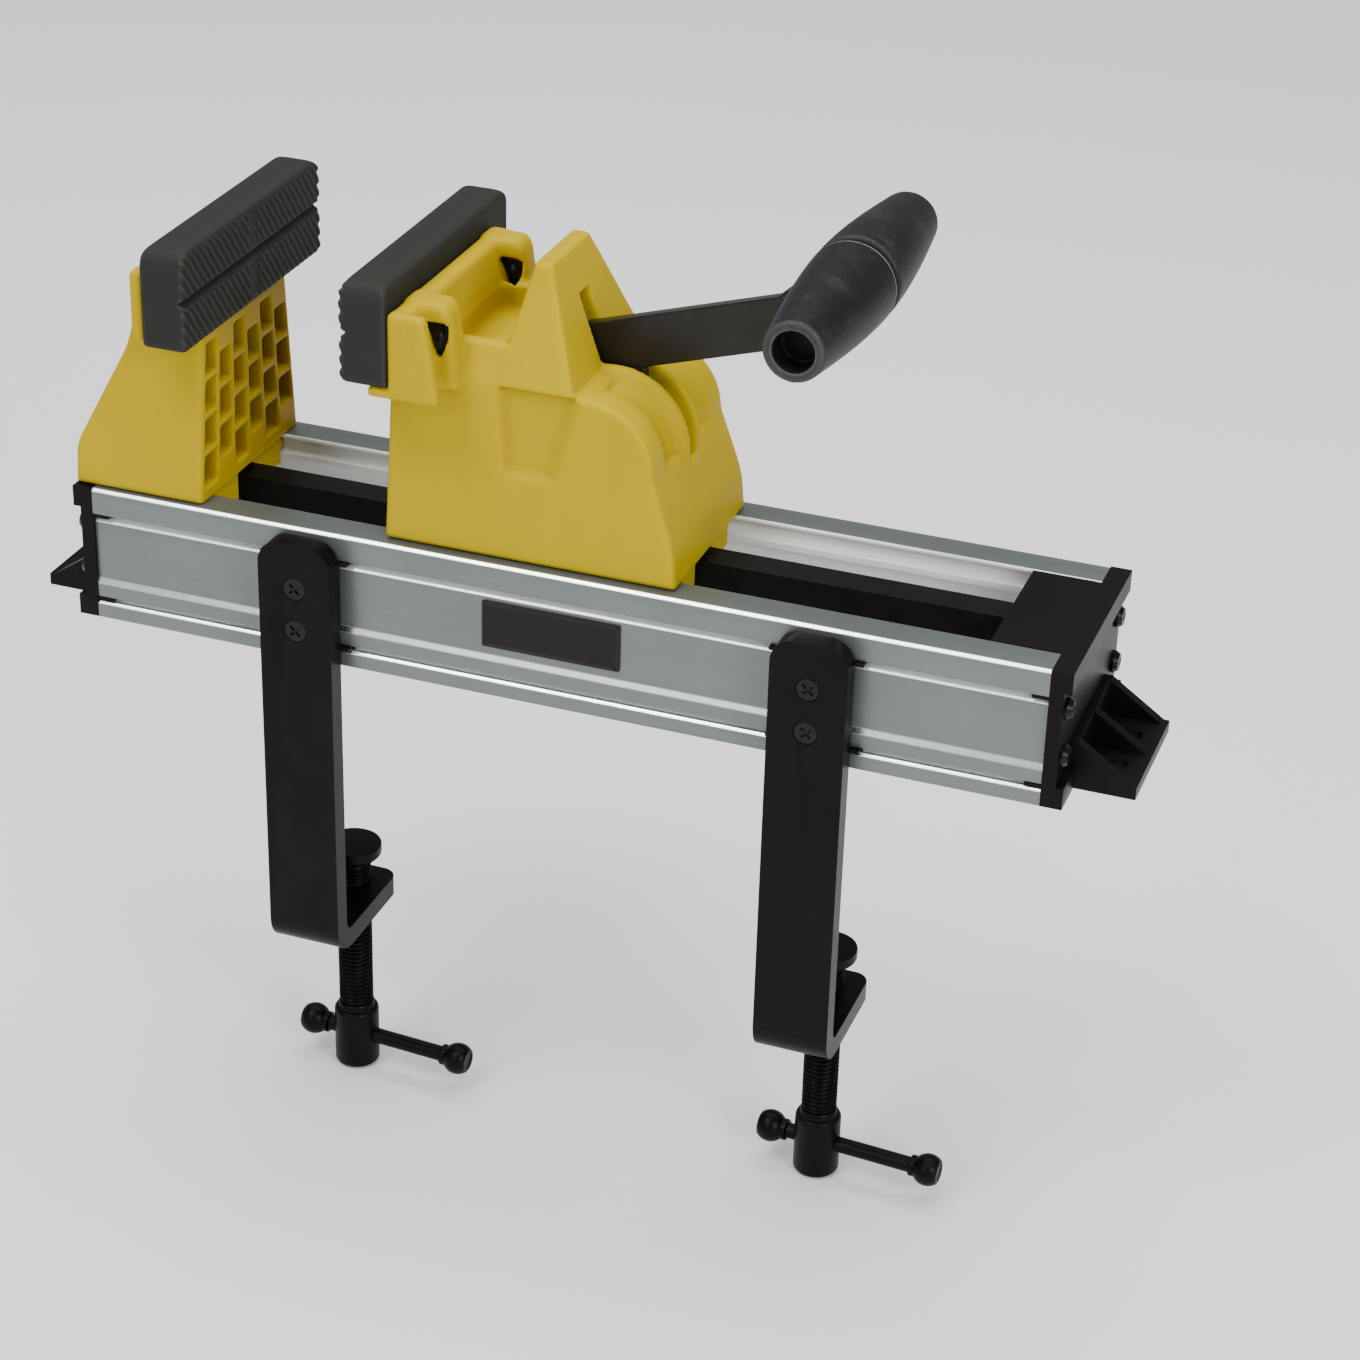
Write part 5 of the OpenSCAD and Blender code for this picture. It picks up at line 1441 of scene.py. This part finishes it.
@dataclass
class Hardware(Piece):
    """The CAD nodes whose own shapes are right: each gets its finish and its broken edges."""

    def rows(self) -> list[tuple[str, str, float]]:
        """Node, slot and edge width of each.

        Returns:
            The list.
        """
        rows = [("lock_bar", "lock_bar_black", 0.6), ("lock_bar_pins", "bright_steel", 0.3),
                ("fixed_jaw_screws", "bright_steel", 0.3), ("fixed_pad_nuts", "bright_steel", 0.2),
                ("fixed_pad_screws", "black_screw", 0.25), ("moving_pad_nuts", "bright_steel", 0.2),
                ("front_runner", "runner_plastic", 0.3), ("rear_runner", "runner_plastic", 0.3),
                ("runner_screws", "bright_steel", 0.2), ("pivot_pin", "bright_steel", 0.3),
                ("pivot_bushes", "bush_bronze", 0.2), ("pivot_clips", "bright_steel", 0.12),
                ("lever_arm", "lever_black", 0.7), ("handle_tube", "bright_steel", 0.3),
                ("brake_shoe", "bright_steel", 0.4), ("brake_lining", "lining_rubber", 0.4)]
        pairs = (("end_cap", "cap_plastic", 0.7), ("cap_screws", "black_screw", 0.3),
                 ("clamp_bar", "clamp_black", 0.9), ("clamp_slider", "slider_plastic", 0.3),
                 ("clamp_bolts", "black_screw", 0.2), ("swivel_pad", "clamp_black", 0.5))
        return rows + [(f"{side.word}_{node}", slot, edge_mm) for side in Side for node, slot, edge_mm in pairs]

    def build(self) -> None:
        """Soften every node of the list."""
        for node, slot, edge_mm in self.rows():
            self.fitter.soften(node, slot, edge_mm, 3 if edge_mm >= 0.6 else 2)


@dataclass
class Studio:
    """Pale floor, soft lights, and the camera at the photograph's place."""

    floor_z: float = -0.1975
    camera_at: Point = (0.38048, -0.99975, 0.56986)
    azimuth: float = 19.1
    elevation: float = 28.435
    roll: float = 1.792
    lens: float = 87.886

    def build(self) -> None:
        """Make the floor, world, lights and camera."""
        self.floor()
        self.world()
        self.light("top_light", (-0.1, 0.1, 2.2), (0, 0, 0), 2.6, 86)
        self.light("edge_light", (-0.95, -1.5, 2.5), (0, 0, 0.05), 0.9, 30)
        self.light("slope_light", (-0.87, -2.53, 1.36), (0, 0, 0.02), 0.8, 18)
        self.light("right_fill", (2.0, -1.5, 1.25), (0, 0, 0.08), 1.1, 48)
        self.camera()

    def floor(self) -> None:
        """A wide floor that rises behind in a smooth sweep: height is the square of the distance past its edge."""
        across = np.linspace(-6, 6, 25)
        along = np.linspace(-5, 7, 49)
        x, y = np.meshgrid(across, along)
        z = self.floor_z + np.clip(y - 3.0, 0, None) ** 2 * 0.25
        quads = grid_quads(len(along), len(across), closed=False)
        surface = Surface(np.stack([x, y, z], -1).reshape(-1, 3) / MM, [quads])
        sheet = NodeSheet("studio_floor")
        cloud = sheet.noise(sheet.place(), 400, 3)
        tone = sheet.mix(cloud, (242, 242, 242), (236, 236, 237))
        mesh = surface.mesh("studio_floor")
        mesh.materials.append(sheet.done(Base_Color=tone, Roughness=0.55 + 0.1 * cloud))
        shown("studio_floor", mesh)

    def world(self) -> None:
        """An even pale surround."""
        world = bpy.data.worlds.new("studio")
        world.use_nodes = True
        ground = world.node_tree.nodes["Background"]
        ground.inputs["Color"].default_value = (0.95, 0.97, 1.0, 1.0)
        ground.inputs["Strength"].default_value = 0.3
        bpy.context.scene.world = world

    def light(self, name: str, at: Point, aim: Point, size: float, watts: float) -> None:
        """A square soft light.

        Args:
            name: The light's name.
            at: Its place in metres.
            aim: The point that it faces.
            size: Its width in metres.
            watts: Its power.
        """
        lamp = bpy.data.lights.new(name, "AREA")
        lamp.shape, lamp.size, lamp.energy = "SQUARE", size, watts
        back = np.array(at, float) - np.array(aim, float)
        back /= np.linalg.norm(back)
        right = np.cross([0.001, 1, 0], back)
        right /= np.linalg.norm(right)
        shown(name, lamp).matrix_world = self.pose(right, np.cross(back, right), back, at)

    @staticmethod
    def pose(right: Array, up: Array, back: Array, at: Point) -> Matrix:
        """The matrix with these three axes at a place."""
        rows = np.column_stack([right, up, back, np.array(at, float)])
        return Matrix([*rows.tolist(), [0, 0, 0, 1]])

    def camera(self) -> None:
        """The camera, turned by azimuth, elevation and roll."""
        a, e, r = (math.radians(value) for value in (self.azimuth, self.elevation, self.roll))
        back = np.array([math.sin(a) * math.cos(e), -math.cos(a) * math.cos(e), math.sin(e)])
        level = np.array([math.cos(a), math.sin(a), 0.0])
        rise = np.cross(back, level)
        lens = bpy.data.cameras.new("photo_camera")
        lens.lens, lens.sensor_width, lens.sensor_height, lens.sensor_fit = self.lens, 36, 36, "HORIZONTAL"
        lens.clip_start, lens.clip_end = 0.05, 60
        eye = shown("photo_camera", lens)
        eye.matrix_world = self.pose(math.cos(r) * level + math.sin(r) * rise,
                                     math.cos(r) * rise - math.sin(r) * level, back, self.camera_at)
        bpy.context.scene.camera = eye


def main() -> None:
    """Build the vise in order."""
    logging.basicConfig(level=logging.INFO, format="%(name)s: %(message)s")
    fitter = Fitter()
    Studio().build()
    for piece in (Rails(fitter), FixedJaw(fitter), JawPad(fitter, "fixed_jaw_pad", -148.8, 1), MovingJaw(fitter),
                  JawPad(fitter, "moving_jaw_pad", -55.8, -1), PadScrews(fitter), Handle(fitter),
                  ClampScrew(fitter, Side.LEFT, -94), ClampScrew(fitter, Side.RIGHT, 98), Nameplate(fitter),
                  ReturnSprings(fitter), Hardware(fitter)):
        piece.build()
    bpy.context.view_layer.update()


if __name__ == "__main__":
    main()
